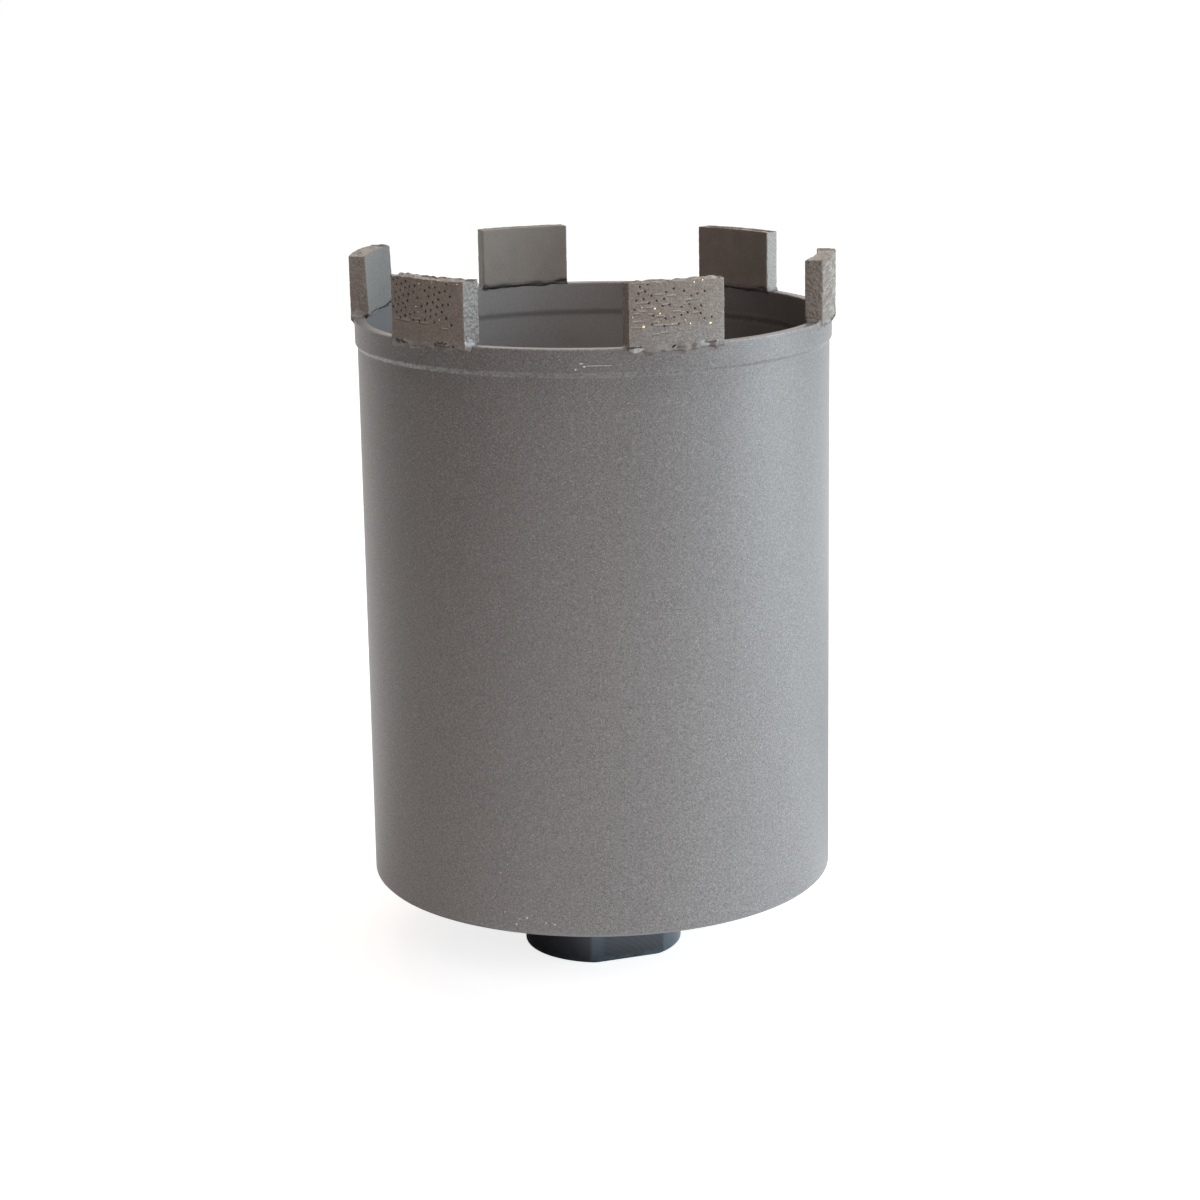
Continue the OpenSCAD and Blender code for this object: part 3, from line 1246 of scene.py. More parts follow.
@dataclass(frozen=True)
class Wear:
    """What use and making have left on one segment, in mm along it and above its foot."""

    pits: tuple[tuple[float, float], ...] = ()
    streaks: tuple[tuple[float, float, float], ...] = ()
    drag: float = 0.3
    pit: float = 0.24
    edge: float = 0.2
    corner: float = 0.15
    lean: float = 0.0
    end_grain: float = 0.5
    # Lighter ends: partly bare metal, partly painted light on ends that the lamps leave dim.
    bare_ends: float = 0.1
    bare_inside: float = 0.0
    bare_foot: float = 0.0
    coarse_inside: float = 0.15
    uneven: float = 0.5
    top_rough: float = 1.0
    slope: float = 0.0
    stretch: float = 2.8
    thick: float = 0.3
    scratched: float = 0.0
    pale_inside: float = 0.0
    # Strength of the painted shadow under the inner side of the foot, which lies along foot_line.
    undercut: float = 0.0
    foot_line: tuple[tuple[float, float], ...] = ((0.0, -0.4),)
    # Painted light and shade on the two ends: a negative value darkens an end, a positive one lightens it.
    ends: tuple[float, float] = (0.0, 0.0)
    ragged: float = 0.4
    swell: tuple[float, float] = (0.0, 0.0)
    skew: float = 0.0
    short: float = 0.0
    diamonds: tuple[tuple[float, float, float], ...] = ()
    burrs: tuple[tuple[float, float, float, float], ...] = ()
    strokes: tuple[Stroke, ...] = ()
    patches: tuple[Patch, ...] = ()

    @classmethod
    def by_rule(cls, seed: int, kept: float, crests: Sequence[tuple[float, ...]] = (),
                extra: Sequence[Stroke] = (), spots: Sequence[Patch] = (), **shape: Any) -> "Wear":
        """Wears a segment whose outer face the photograph doesn't show, or only from its end.

        Args:
            seed: Picks the pattern.
            kept: Share of the diamond places that show as a pit.
            crests: Rises and drops of its top that the photograph does show.
            extra: Ridges and crevices of its braze that the photograph does show.
            spots: Coloured spots that the photograph does show.
            shape: Its own values for the wear's other fields.

        Returns:
            The wear, with its pits in the rows in which the diamonds were set.
        """
        rng = np.random.default_rng(seed)
        tilt, pitch, row_pitch = math.radians(14), 1.75, 1.52
        middle, half_length, layer = 9.5, 11.4, (4.9, 14.4)
        pits, diamonds = [], []
        for row, column in itertools.product(range(-14, 15), range(-14, 15)):
            a, b = (column + row % 2 / 2) * pitch, row * row_pitch
            u = a * math.cos(tilt) - b * math.sin(tilt) + rng.uniform(-0.2, 0.2)
            v = a * math.sin(tilt) + b * math.cos(tilt) + middle + rng.uniform(-0.2, 0.2)
            lot = rng.uniform()
            if abs(u) < half_length and layer[0] < v < layer[1]:
                if lot < kept:
                    pits.append((u, v))
                elif lot > 0.97:
                    diamonds.append((u, v, 0.17))
        streaks = [(u + 0.2, u + rng.uniform(0.8, 2.4), v) for u, v in pits if rng.uniform() < 0.2]
        burrs = [(rng.uniform(-11, 11), rng.uniform(0.3, 4), rng.uniform(0.5, 1.2), rng.uniform(0.1, 0.3))
                 for _ in range(7)] + list(crests)
        strokes = list(extra)
        for raised in (True, False, True, False):
            start, count = rng.uniform(-11.5, 3), rng.integers(4, 8)
            path = tuple((start + 1.2 * i, rng.uniform(-0.8, -0.2)) for i in range(count))
            strokes.append(Stroke(raised, path))
        patches = [Patch(Field.FLUX, 12.2, rng.uniform(0.5, 3.5), 0.0, 0.9, 0.4),
                   Patch(Field.BURNT, rng.uniform(-10, 10), 4.3, -0.3, 1.4), *spots]
        return cls(pits=tuple(pits), streaks=tuple(streaks), diamonds=tuple(diamonds), burrs=tuple(burrs),
                   strokes=tuple(strokes), patches=tuple(patches), **shape)

    def shadow(self, u: np.ndarray, w: np.ndarray, v: np.ndarray) -> np.ndarray:
        """Gives how dark the painted shadow under the inner side of the foot is at each point."""
        line = np.interp(u, *np.array(self.foot_line).T)
        return self.undercut * np.exp(-(((v - line) / 0.62) ** 2)) * (1 - fade(w, 0.3, 0.9))


WEAR_FRONT_RIGHT = Wear(
    pits=((-9.3, 14.0), (-8.1, 12.9), (-9.7, 12.4), (-6.6, 11.8), (-7.5, 14.6), (-8.5, 11.1),
        (-10.2, 10.8), (-5.4, 10.6), (-7.2, 10.1), (-10.6, 8.7), (-6.2, 7.1), (-6.6, 5.1), (-3.6, 10.9),
        (-3.1, 12.5), (-1.2, 13.2), (-2.3, 9.5), (-4.0, 9.3), (-3.2, 6.3), (-3.6, 4.6), (-1.2, 6.5),
        (0.0, 4.9), (0.7, 6.9), (0.7, 8.8), (1.4, 12.5), (2.7, 9.3), (3.2, 11.2), (4.8, 11.6), (4.1, 8.2),
        (5.7, 8.8), (6.7, 12.0), (2.3, 7.4), (6.6, 5.7), (8.5, 5.9), (5.6, 7.0)),
    streaks=((-10.3, -7.2, 10.3), (-4.2, -2.3, 9.7), (-6.2, -2.1, 4.9), (-2.1, 0.1, 5.0),
        (-11.6, -8.9, 4.6), (-4.0, -3.1, 6.7), (-2.2, -1.6, 6.7), (-6.3, -5.0, 5.8), (-6.5, -4.6, 2.9),
        (-4.6, -2.6, 3.2), (-10.9, -9.3, 7.8), (-11.5, -10.8, 11.3), (0.9, 1.7, 7.7), (0.9, 1.9, 9.6),
        (-7.4, -6.1, 7.6), (-10.0, -8.2, 13.1), (-9.6, -7.9, 8.3), (-6.0, -3.9, 12.1), (-5.9, -3.4, 7.1),
        (-1.5, 0.6, 8.0), (-8.0, -6.0, 9.2), (1.5, 3.6, 10.5), (3.4, 4.9, 7.4), (-3.0, -0.6, 11.7),
        (-11.2, -8.4, 6.0)),
    drag=1.6, pit=0.22, corner=0.35, end_grain=1.4, bare_foot=0.3, ends=(-0.16, 0.0), ragged=0.35,
    short=0.35,
    diamonds=((-5.9, 8.8, 0.36), (-4.6, 7.6, 0.3), (-8.6, 4.7, 0.4), (8.1, 4.5, 0.33), (2.9, 4.8, 0.24),
        (1.6, 5.7, 0.2), (-8.9, 9.2, 0.17), (-5.0, 5.6, 0.17), (-1.7, 5.0, 0.16), (-11.1, 7.0, 0.16),
        (-2.9, 14.5, 0.2), (3.9, 14.4, 0.17), (6.1, 14.7, 0.24)),
    burrs=((9.6, 1.2, 1.7, 0.4), (7.6, 0.6, 1.0, 0.3), (4.6, 0.6, 1.0, 0.2), (1.9, 0.4, 0.6, 0.25),
        (-3.4, 0.5, 0.7, 0.12), (-9.0, 2.0, 1.2, 0.1)),
    strokes=(Stroke(False, ((-12.4, 0.6), (-12.1, -0.1), (-11.4, -0.2), (-10.2, 0.0), (-9.1, 0.0))),
        Stroke(False, ((-1.6, -0.55), (-1.0, 0.0)), 60.8), Stroke(False, ((-0.5, -0.6), (0.1, -0.45),
        (0.7, -0.6), (1.4, -0.35), (2.3, -0.5)), 60.72), Stroke(False, ((6.9, 0.3), (9.5, 0.2)), 61.05),
        Stroke(True, ((-11.3, -0.75), (-10.0, -0.8), (-8.7, -0.7))), Stroke(True, ((-11.2, -1.0),
        (-9.2, -1.05)), 60.7), Stroke(True, ((-7.1, -1.5), (-4.5, -1.35)), 60.3), Stroke(True,
        ((-2.0, -0.9), (0.4, -1.0), (1.8, -0.9)), 60.7)),
    patches=(Patch(Field.FLUX, 9.8, 1.6, 15.2, 1.5, 1.0), Patch(Field.FLUX, 6.3, 4.3, 0.1, 1.1, 0.4),
        Patch(Field.FLUX, 7.2, 4.3, -0.5, 0.8, 0.4), Patch(Field.BURNT, 0.9, 4.3, -0.7, 1.5, 0.5),
        Patch(Field.BURNT, 8.9, 4.3, -0.3, 1.2), Patch(Field.BURNT, 3.8, 4.3, -0.3, 0.8),
        Patch(Field.FLUX, -10.4, 4.2, -0.9, 0.8), Patch(Field.FLUX, -9.3, 4.2, -0.9, 0.7)),
)
WEAR_RIGHT = Wear.by_rule(
    42, 0.3, edge=0.5, drag=2.6, end_grain=1.2, corner=0.7, uneven=0.3, slope=0.13, stretch=3.6,
    scratched=0.8, swell=(0.3, 0.3), short=0.25,
    crests=((-11.4, 2.1, 3.0, -1.1), (-9.0, 3.6, 1.0, -0.3), (-11.8, 4.2, 1.2, -0.8),
        (11.5, 0.3, 3.0, -0.6)),
)
WEAR_BACK_RIGHT = Wear.by_rule(
    43, 0.75, edge=0.5, corner=1.1, lean=0.4, end_grain=0.2, bare_ends=0.75, ragged=0.25, uneven=0.1,
    top_rough=0.35, undercut=0.85, coarse_inside=0.2, ends=(0.5, 0.0),
    foot_line=((-12, 0.1), (-10, 0.3), (-8, -0.1), (-6, -0.3), (-4, -0.5), (0, -0.55), (2, -0.45),
        (12, -0.4)),
)
WEAR_BACK_LEFT = Wear.by_rule(
    44, 0.6, edge=0.45, corner=0.4, lean=0.6, end_grain=0.2, bare_ends=0.8, ragged=0.25, uneven=0.1,
    top_rough=0.35, undercut=0.95, coarse_inside=0.2, pale_inside=0.22, ends=(0.0, 0.9), bare_inside=0.1,
    foot_line=((-12, 0.4), (-10, 0.4), (-8, -0.25), (-6, -0.42), (-4, 0.0), (-2, -0.15), (0, -0.4),
        (2, -0.5), (4, -0.36), (6, -0.15), (8, -0.32), (10, -0.45), (11.5, 0.0)),
    crests=((-2.3, 0.8, 1.3, 0.6), (4.5, 0.8, 4.0, 0.2), (-9.9, 0.8, 1.7, 0.4)),
)
WEAR_LEFT = Wear.by_rule(
    45, 0.7, edge=0.25, end_grain=0.6, bare_inside=0.6, swell=(0.75, 0.15), skew=0.5, short=0.3,
    undercut=0.9, coarse_inside=0.5,
    foot_line=((-12, 0.5), (-10, 0.4), (-8, -0.1), (-6, -0.59), (-2, -0.53), (0, -0.76), (2, -1.2),
        (6, -1.16), (8, -0.87), (10, -0.57), (12, -0.3)),
    extra=(Stroke(True, ((11.5, 0.2), (9, -0.1), (6, -0.5), (2, -0.6), (0, -0.1), (-2, 0.1), (-6, 0.1),
        (-8, 0.5), (-10, 1), (-12, 1)), 55.9), Stroke(False, ((11.5, -0.5), (12.1, -0.4),
        (12.2, 0.0)), 57.0)),
    spots=(Patch(Field.BURNT, 12.0, 0.2, -0.3, 0.9, 1.0), Patch(Field.FLUX, 12.1, 2.6, 0.4, 1.5, 0.4),
        Patch(Field.FLUX, 12.1, 4.2, 0.5, 1.2, 0.4)),
    crests=((11.0, 1.5, 0.8, 0.2), (8.2, 2.0, 0.7, -0.35), (5.0, 2.5, 0.8, -0.3)),
)
WEAR_FRONT_LEFT = Wear(
    pits=((-10.9, 13.9), (-9.2, 14.4), (-6.1, 13.8), (-7.8, 13.1), (-9.7, 12.7), (-6.4, 12.2),
        (-4.7, 12.6), (-3.0, 13.0), (-8.3, 11.5), (-10.2, 10.9), (-5.2, 10.8), (-3.4, 11.5), (-2.0, 10.2),
        (-8.9, 9.7), (-10.4, 9.1), (-5.7, 9.2), (-7.3, 8.5), (-9.3, 8.0), (-11.3, 7.3), (-8.1, 6.7),
        (-9.8, 6.1), (-6.7, 5.6), (-4.9, 6.0), (-3.2, 6.6), (-8.5, 5.0), (-3.7, 4.8), (-1.6, 4.7),
        (0.2, 5.2), (2.0, 6.0), (3.8, 6.7), (0.5, 7.2), (2.2, 7.6), (4.2, 8.5), (5.9, 9.0), (7.5, 9.3),
        (-0.8, 8.3), (1.1, 9.1), (2.9, 9.5), (4.6, 10.3), (8.1, 11.2), (3.4, 11.4), (5.0, 12.0),
        (6.7, 12.4), (1.6, 10.8), (0.4, 12.1), (1.9, 12.9), (3.7, 13.1), (7.2, 14.3), (6.9, 6.0),
        (8.3, 4.5), (3.2, 4.8), (-7.1, 10.4), (-6.5, 7.5), (5.6, 7.4)),
    streaks=((-10.9, -7.7, 4.75), (-7.9, -4.9, 4.6), (-2.6, 1.8, 4.5), (5.5, 7.6, 3.6),
        (-3.0, -1.0, 5.3)),
    diamonds=((-1.7, 6.9, 0.17), (-1.4, 13.6, 0.15), (5.0, 5.5, 0.15), (-2.6, 8.1, 0.14),
        (2.9, 14.2, 0.16), (10.3, 14.2, 0.2)),
    burrs=((-8.9, 0.8, 1.0, 0.45), (-6.2, 0.7, 1.1, 0.4), (-11.0, 0.8, 0.9, 0.15), (2.0, 0.3, 2.0, 0.12),
        (5.4, 0.4, 0.9, 0.2), (8.6, 0.5, 1.4, 0.15), (-1.2, 2.0, 1.5, 0.1), (11.5, 2.0, 2.6, -0.5)),
    pit=0.32, drag=0.8, end_grain=2.4, bare_ends=0.62, ends=(0.0, 0.12), lean=0.4, short=0.45,
    ragged=0.45, swell=(0.75, 0.75),
    strokes=(Stroke(False, ((-10.2, -0.3), (-9.6, -0.6), (-8.4, -0.83), (-8.2, -0.33), (-7.6, -0.86),
        (-6.1, -0.95))), Stroke(False, ((-5.4, -1.1), (-3.4, -1.15), (-1.8, -0.95)), 60.5), Stroke(False,
        ((3.3, -0.2), (3.4, -0.7))), Stroke(False, ((4.4, 0.05), (5.6, 0.1), (6.8, 0.0)), 61.0),
        Stroke(False, ((5.0, -1.0), (7.4, -0.75), (7.7, -0.35)), 60.7), Stroke(False, ((8.7, -0.55),
        (8.9, -0.65))), Stroke(False, ((9.6, -1.4), (11.0, -1.7)), 60.2), Stroke(True, ((-7.2, -0.1),
        (-5.8, -0.4), (-4.2, -0.75))), Stroke(True, ((-4.2, -0.7), (-2.8, -0.2), (-1.4, -0.6),
        (0.6, -0.1), (2.2, -0.95), (3.0, -1.25)), 60.85), Stroke(True, ((2.9, -0.9), (3.7, 0.1),
        (4.2, 0.4), (6.6, 0.55), (7.5, -0.1)), 61.0), Stroke(True, ((4.6, -0.6), (7.0, -0.4)), 60.9),
        Stroke(True, ((7.8, -0.7), (9.3, -1.1), (11.5, -1.1)), 60.6)),
    patches=(Patch(Field.FLUX, 12.6, 2.4, 0.4, 1.6), Patch(Field.BURNT, 5.0, 4.3, -1.0, 1.6),
        Patch(Field.BURNT, -9.5, 4.3, -0.8, 1.0)),
)
WEAR = dict(enumerate((WEAR_FRONT_RIGHT, WEAR_RIGHT, WEAR_BACK_RIGHT, WEAR_BACK_LEFT,
                      WEAR_LEFT, WEAR_FRONT_LEFT), 1))


@dataclass
class Crown:
    """The six diamond segments, the braze that holds them and the grit that shows in them."""

    count: int = 6
    length: float = 24.0
    inner: float = 56.7
    outer: float = 61.0
    foot: float = 166.7
    rim_inner: float = 57.2
    rim_outer: float = 60.0
    rim_top: float = 166.3
    cell: float = 0.13
    top_drop: float = 0.42
    layer: float = 4.7
    pit_depth: float = 0.42
    streak_half: float = 0.15
    streak_rise: float = 0.15
    groove_depth: float = 0.12
    groove_drop: float = 0.3

    def __post_init__(self) -> None:
        """Reads the segments' height and places from the frame, and takes their wear."""
        self.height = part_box("segment_1")[1].z / MM - self.foot
        self.places = [Place.of(i, self.inner, self.outer, self.length) for i in range(1, self.count + 1)]
        self.wear = WEAR

    def build(self) -> None:
        """Builds every segment, every braze joint and the diamonds."""
        for place in self.places:
            self.segment(place)
        for place in self.places:
            self.braze(place)
        self.grit()

    def segment(self, place: Place) -> None:
        """Builds one segment with its pits, streaks, ragged top and worn edges.

        Args:
            place: Where the segment stands.
        """
        wear = self.wear[place.number]
        size = np.array((self.length, self.outer - self.inner, self.height))
        counts = np.ceil(size / self.cell).astype(int)
        lattice, faces = block_shell(counts)
        flat = lattice / counts * size
        noise = [SolidNoise(100 * place.number + i) for i in range(4)]
        radius = wear.edge * (1.0 + wear.uneven * noise[0].at(flat, 0.9)) + 0.03
        core = np.clip(flat, radius[:, None], size - radius[:, None])
        outward = flat - core
        span = np.linalg.norm(outward, axis=1)
        outward /= span[:, None]
        lift, fields = self.relief(flat, outward, wear, noise)
        skin = core + outward * (radius + lift)[:, None]
        swell = np.interp(flat[:, 2], (0, self.height), wear.swell)
        swell += wear.skew * (0.5 - flat[:, 0] / self.length)
        skin[:, 1] -= swell * (1 - fade(flat[:, 1], 0, 2))
        ragged = 1 + 0.5 * noise[1].at(flat * (1, 1, 0), 1.2)
        skin[:, 2] -= wear.short * ragged * fade(flat[:, 2], self.height - 1.7, self.height)
        skin[:, 1:] = np.minimum(skin[:, 1:], size[1:] - 0.005)
        gaps = np.sort(np.minimum(flat, size - flat), axis=1)
        fields[Field.WORN] = np.exp(-((gaps[:, 1] / 0.3) ** 2)) * (0.6 + 0.4 * noise[1].at(flat, 0.8))
        fields[Field.WORN] = np.maximum(fields[Field.WORN], fade(outward[:, 2], 0.5, 0.9))
        shell = Shell(place.to_frame(self.bent(skin)), faces, fields)
        piece = shell.to_object(f"segment_{place.number}_body", sharp=75)
        finish_piece(piece, SINTER, Slot.SINTER, f"segment_{place.number}")

    def bent(self, flat: np.ndarray) -> np.ndarray:
        """Bends a straight block to the rim.

        Args:
            flat: Points with 0 to length along, 0 to thickness outwards and 0 to height up.

        Returns:
            The points in the segment's own frame, its ends still parallel.
        """
        u = flat[:, 0] - self.length / 2
        radius = self.inner + flat[:, 1]
        return np.column_stack((u, -np.sqrt(radius**2 - u**2), self.foot + flat[:, 2]))

    def relief(self, flat: np.ndarray, outward: np.ndarray, wear: Wear,
               noise: list[SolidNoise]) -> tuple[np.ndarray, dict[Field, np.ndarray]]:
        """Works out how far each point of a segment's skin rises or sinks, and its colours.

        Args:
            flat: The skin's points on the straight block.
            outward: The direction out of the block at each point.
            wear: The segment's wear.
            noise: Four noises of its own.

        Returns:
            The lift of each point in mm, and the painted shade, streak, coarse, bare, flux and burnt
            fields.
        """
        u, w, v = flat[:, 0] - self.length / 2, flat[:, 1], flat[:, 2]
        face = fade(outward[:, 1], 0.6, 0.95)
        end = fade(np.abs(outward[:, 0]), 0.6, 0.95)
        top = fade(outward[:, 2], 0.3, 0.9)
        inside = fade(-outward[:, 1], 0.6, 0.95)
        coarse = 1 - (1 - wear.coarse_inside) * inside
        lift = coarse * (0.03 * noise[1].at(flat, 0.5) + 0.02 * noise[2].at(flat, 0.26)) - 0.02
        sawn = 0.07 * noise[2].at(flat, 0.6) + 0.05 * noise[3].at(flat, 0.34) - 0.02
        lift += end * wear.end_grain * sawn
        slid = flat - np.outer(flat[:, 0] * wear.slope, (0, 0, 1))
        drag = noise[3].at(slid, (wear.stretch, 1.0, wear.thick))
        finer = noise[2].at(slid, (wear.stretch * 0.46, 1.0, wear.thick * 0.87))
        lift += face * wear.drag * 0.04 * (drag + finer - 0.5)
        lift += face * 0.045 * fade(v, self.layer - 0.15, self.layer + 0.1) - face * 0.05
        pit, streak, groove = self.marks(u, v, wear, 0.08 * noise[0].at(flat, 1.5))
        lift += face * (self.streak_rise * streak - self.groove_depth * groove - self.pit_depth * pit)
        streak = np.maximum(streak, wear.scratched * np.clip(2.2 * drag, 0, 1))
        lift += top * self.worn_top(flat, wear, noise)
        # Painted light and shade: ends lightened or darkened, and near-black pits, grooves below the
        # streaks, troughs of the scratches, spots in the top and the shade under the inner foot.
        ends = end * np.where(u < 0, *wear.ends)
        dark = 1.35 * pit + 0.35 * groove + wear.scratched * np.clip(-0.9 * drag - 0.25, 0, 0.35)
        notched = top * np.clip(2.4 * noise[1].at(flat, 0.5) - 1.15, 0, 0.55)
        dark = np.clip(face * dark + inside * wear.shadow(u, w, v) + notched, 0, 1)
        light = face * streak + inside * wear.pale_inside + 0.9 * top + np.maximum(ends, 0)
        bare = wear.bare_inside * inside + wear.bare_ends * end
        bare += wear.bare_foot * face * (1 - fade(v, 4.2, 5.4))
        fields = {Field.PIT: np.maximum(dark, -ends), Field.STREAK: np.clip(light, 0, 1),
                  Field.COARSE: coarse, Field.BARE: bare}
        return lift, fields | self.patched(u, w, v, wear, noise[3].at(flat, 0.7))

    def marks(self, u: np.ndarray, v: np.ndarray, wear: Wear, stray: np.ndarray) -> np.ndarray:
        """Works out how strongly the pits, the streaks and the grooves below them show.

        Args:
            u: Place along the segment.
            v: Height above its foot.
            wear: The segment's wear.
            stray: How far a streak strays from its height at each point.

        Returns:
            The three, one row each, from 0 to 1.
        """
        pit, streak, groove = np.zeros((3, len(u)))
        shapes = np.random.default_rng(len(wear.pits) + 7).uniform(0, 1, (len(wear.pits), 3))
        for (pit_u, pit_v), (wide, tall, deep) in zip(wear.pits, shapes):
            half_u, half_v = (wear.pit * (0.85 + 0.3 * share) for share in (wide, tall))
            near = ((u - pit_u) / half_u) ** 2 + ((v - pit_v) / half_v) ** 2
            pit = np.maximum(pit, (0.7 + 0.3 * deep) * np.exp(-(near**2)))
        for start, stop, height in wear.streaks:
            above = v - (height + stray)
            body = fade(u, start - 0.15, start + 0.2) * (1 - fade(u, stop - 0.5, stop + 0.15))
            streak = np.maximum(streak, body * np.exp(-((above / self.streak_half) ** 2)))
            below = above + self.groove_drop
            groove = np.maximum(groove, body * np.exp(-((below / self.streak_half) ** 2)))
        return np.stack((pit, streak, groove))

    def worn_top(self, flat: np.ndarray, wear: Wear, noise: list[SolidNoise]) -> np.ndarray:
        """Works out how far the ragged top lies below the crests that it could reach.

        Args:
            flat: The skin's points on the straight block.
            wear: The segment's wear.
            noise: Four noises of its own.

        Returns:
            The lift of each point in mm, negative everywhere.
        """
        u, w = flat[:, 0] - self.length / 2, flat[:, 1]
        rough = wear.top_rough * (0.12 * noise[1].at(flat, 1.6) + 0.09 * noise[2].at(flat, 0.6))
        rough -= wear.corner * fade(np.abs(u), 10.6, 12) ** 2 + wear.lean * w / (self.outer - self.inner)
        jagged = 1.0 + 0.5 * noise[3].at(flat, 0.4)
        for burr_u, burr_w, radius, rise in wear.burrs:
            near = (np.hypot(u - burr_u, w - burr_w) / radius) ** 2
            rough += rise * np.exp(-near) * jagged
        return np.minimum(rough - self.top_drop, -0.02)

    @staticmethod
    def patched(u: np.ndarray, w: np.ndarray, v: np.ndarray, wear: Wear,
                ragged: np.ndarray) -> dict[Field, np.ndarray]:
        """Works out the flux and burnt fields.

        Args:
            u: Place along the segment.
            w: Place outwards from its inner face.
            v: Height above its foot.
            wear: The wear that holds the patches.
            ragged: Noise that breaks the patches' borders.

        Returns:
            The two fields.
        """
        fields = {}
        for kind in (Field.FLUX, Field.BURNT):
            value = np.zeros(len(u))
            for patch in (p for p in wear.patches if p.kind is kind):
                far = np.sqrt((u - patch.along) ** 2 + (w - patch.depth) ** 2 + (v - patch.height) ** 2)
                outside = fade(far / patch.radius + 0.5 * ragged, 0.55, 1.1)
                value = np.maximum(value, patch.strength * (1 - outside))
            fields[kind] = value
        return fields

    def braze(self, place: Place) -> None:
        """Builds the braze that has run out of one joint.

        Args:
            place: Where the segment stands.
        """
        wear = self.wear[place.number]
        rng = np.random.default_rng(60 + place.number)
        marks = {raised: np.vstack([stroke.points(rng, self.foot) for stroke in wear.strokes
                                    if stroke.raised is raised]) for raised in (True, False)}
        mesh = bpy.data.meshes.new("strokes")
        mesh.from_pydata(np.vstack(list(marks.values())).tolist(), [], [])
        carry(mesh, "raised", np.repeat((1.0, 0.0), [len(rows) for rows in marks.values()]))
        piece = placed(f"braze_{place.number}_fillet", mesh)
        BrazeRun.run(piece, BRAZE, segment_length=self.length, segment_inner=self.inner,
                     segment_outer=self.outer, segment_bottom=self.foot, rim_inner=self.rim_inner,
                     rim_outer=self.rim_outer, rim_top=self.rim_top, rim_axis=place.rim_axis(),
                     ragged=wear.ragged, seed=float(place.number))
        made = piece.data
        points = np.zeros(len(made.vertices) * 3)
        made.vertices.foreach_get("co", points)
        points = points.reshape(-1, 3)
        depth = np.hypot(points[:, 0], points[:, 1]) - self.inner
        ragged = SolidNoise(300 + place.number).at(points, 0.7)
        fields = self.patched(points[:, 0], depth, points[:, 2] - self.foot, wear, ragged)
        ridge, crevice = (np.min([np.linalg.norm(points - mark, axis=1) for mark in rows], axis=0)
                          for rows in marks.values())
        fields[Field.WORN] = 0.9 * (1 - fade(ridge, 0.15, 0.34))
        # Painted shade: the crevices and the shade under the inner foot turn near-black.
        crevice += 0.1 * SolidNoise(400 + place.number).at(points, 0.35)
        shadow = wear.shadow(points[:, 0], depth, points[:, 2] - self.foot)
        fields[Field.PIT] = np.maximum(1 - fade(crevice, 0.2, 0.34), shadow)
        for key, values in fields.items():
            carry(made, key.value, values)
        points = place.to_frame(points)
        points[:, :2] *= np.minimum(1, (self.outer - 0.01) / np.hypot(points[:, 0], points[:, 1]))[:, None]
        made.vertices.foreach_set("co", (points * MM).reshape(-1))
        seal(made)
        finish_piece(piece, BRAZE, Slot.BRAZE, f"braze_{place.number}")

    def grit(self) -> None:
        """Sets the diamonds that show in the outer faces."""
        rng = np.random.default_rng(5)
        points, sizes, turns = [], [], []
        for place in self.places:
            for u, v, radius in self.wear[place.number].diamonds:
                flat = np.array([(u + self.length / 2, self.outer - self.inner - 0.4 * radius, v)])
                points.append(place.to_frame(self.bent(flat))[0])
                sizes.append((radius,) * 3)
                turns.append(rng.uniform(0, math.pi, 3))
        scatter("diamond_grit", np.array(points), np.array(sizes), np.array(turns), DIAMOND, Slot.SINTER)


def scatter(name: str, points: np.ndarray, sizes: np.ndarray, turns: np.ndarray, finish: Finish,
            slot: Slot) -> None:
    """Sets one small grain at each point, all of them one piece.

    Args:
        name: Name of the piece.
        points: Places in mm.
        sizes: Half sizes of each grain in mm.
        turns: Rotation of each grain about X, Y and Z in radians.
        finish: The grains' finish.
        slot: The record's material slot that they belong to.
    """
    mesh = bpy.data.meshes.new(name)
    mesh.from_pydata((points * MM).tolist(), [], [])
    carry(mesh, "size", sizes * MM)
    carry(mesh, "turn", turns)
    piece = placed(name, mesh)
    GrainScatter.run(piece, finish, seed=3)
    finish_piece(piece, finish, slot)


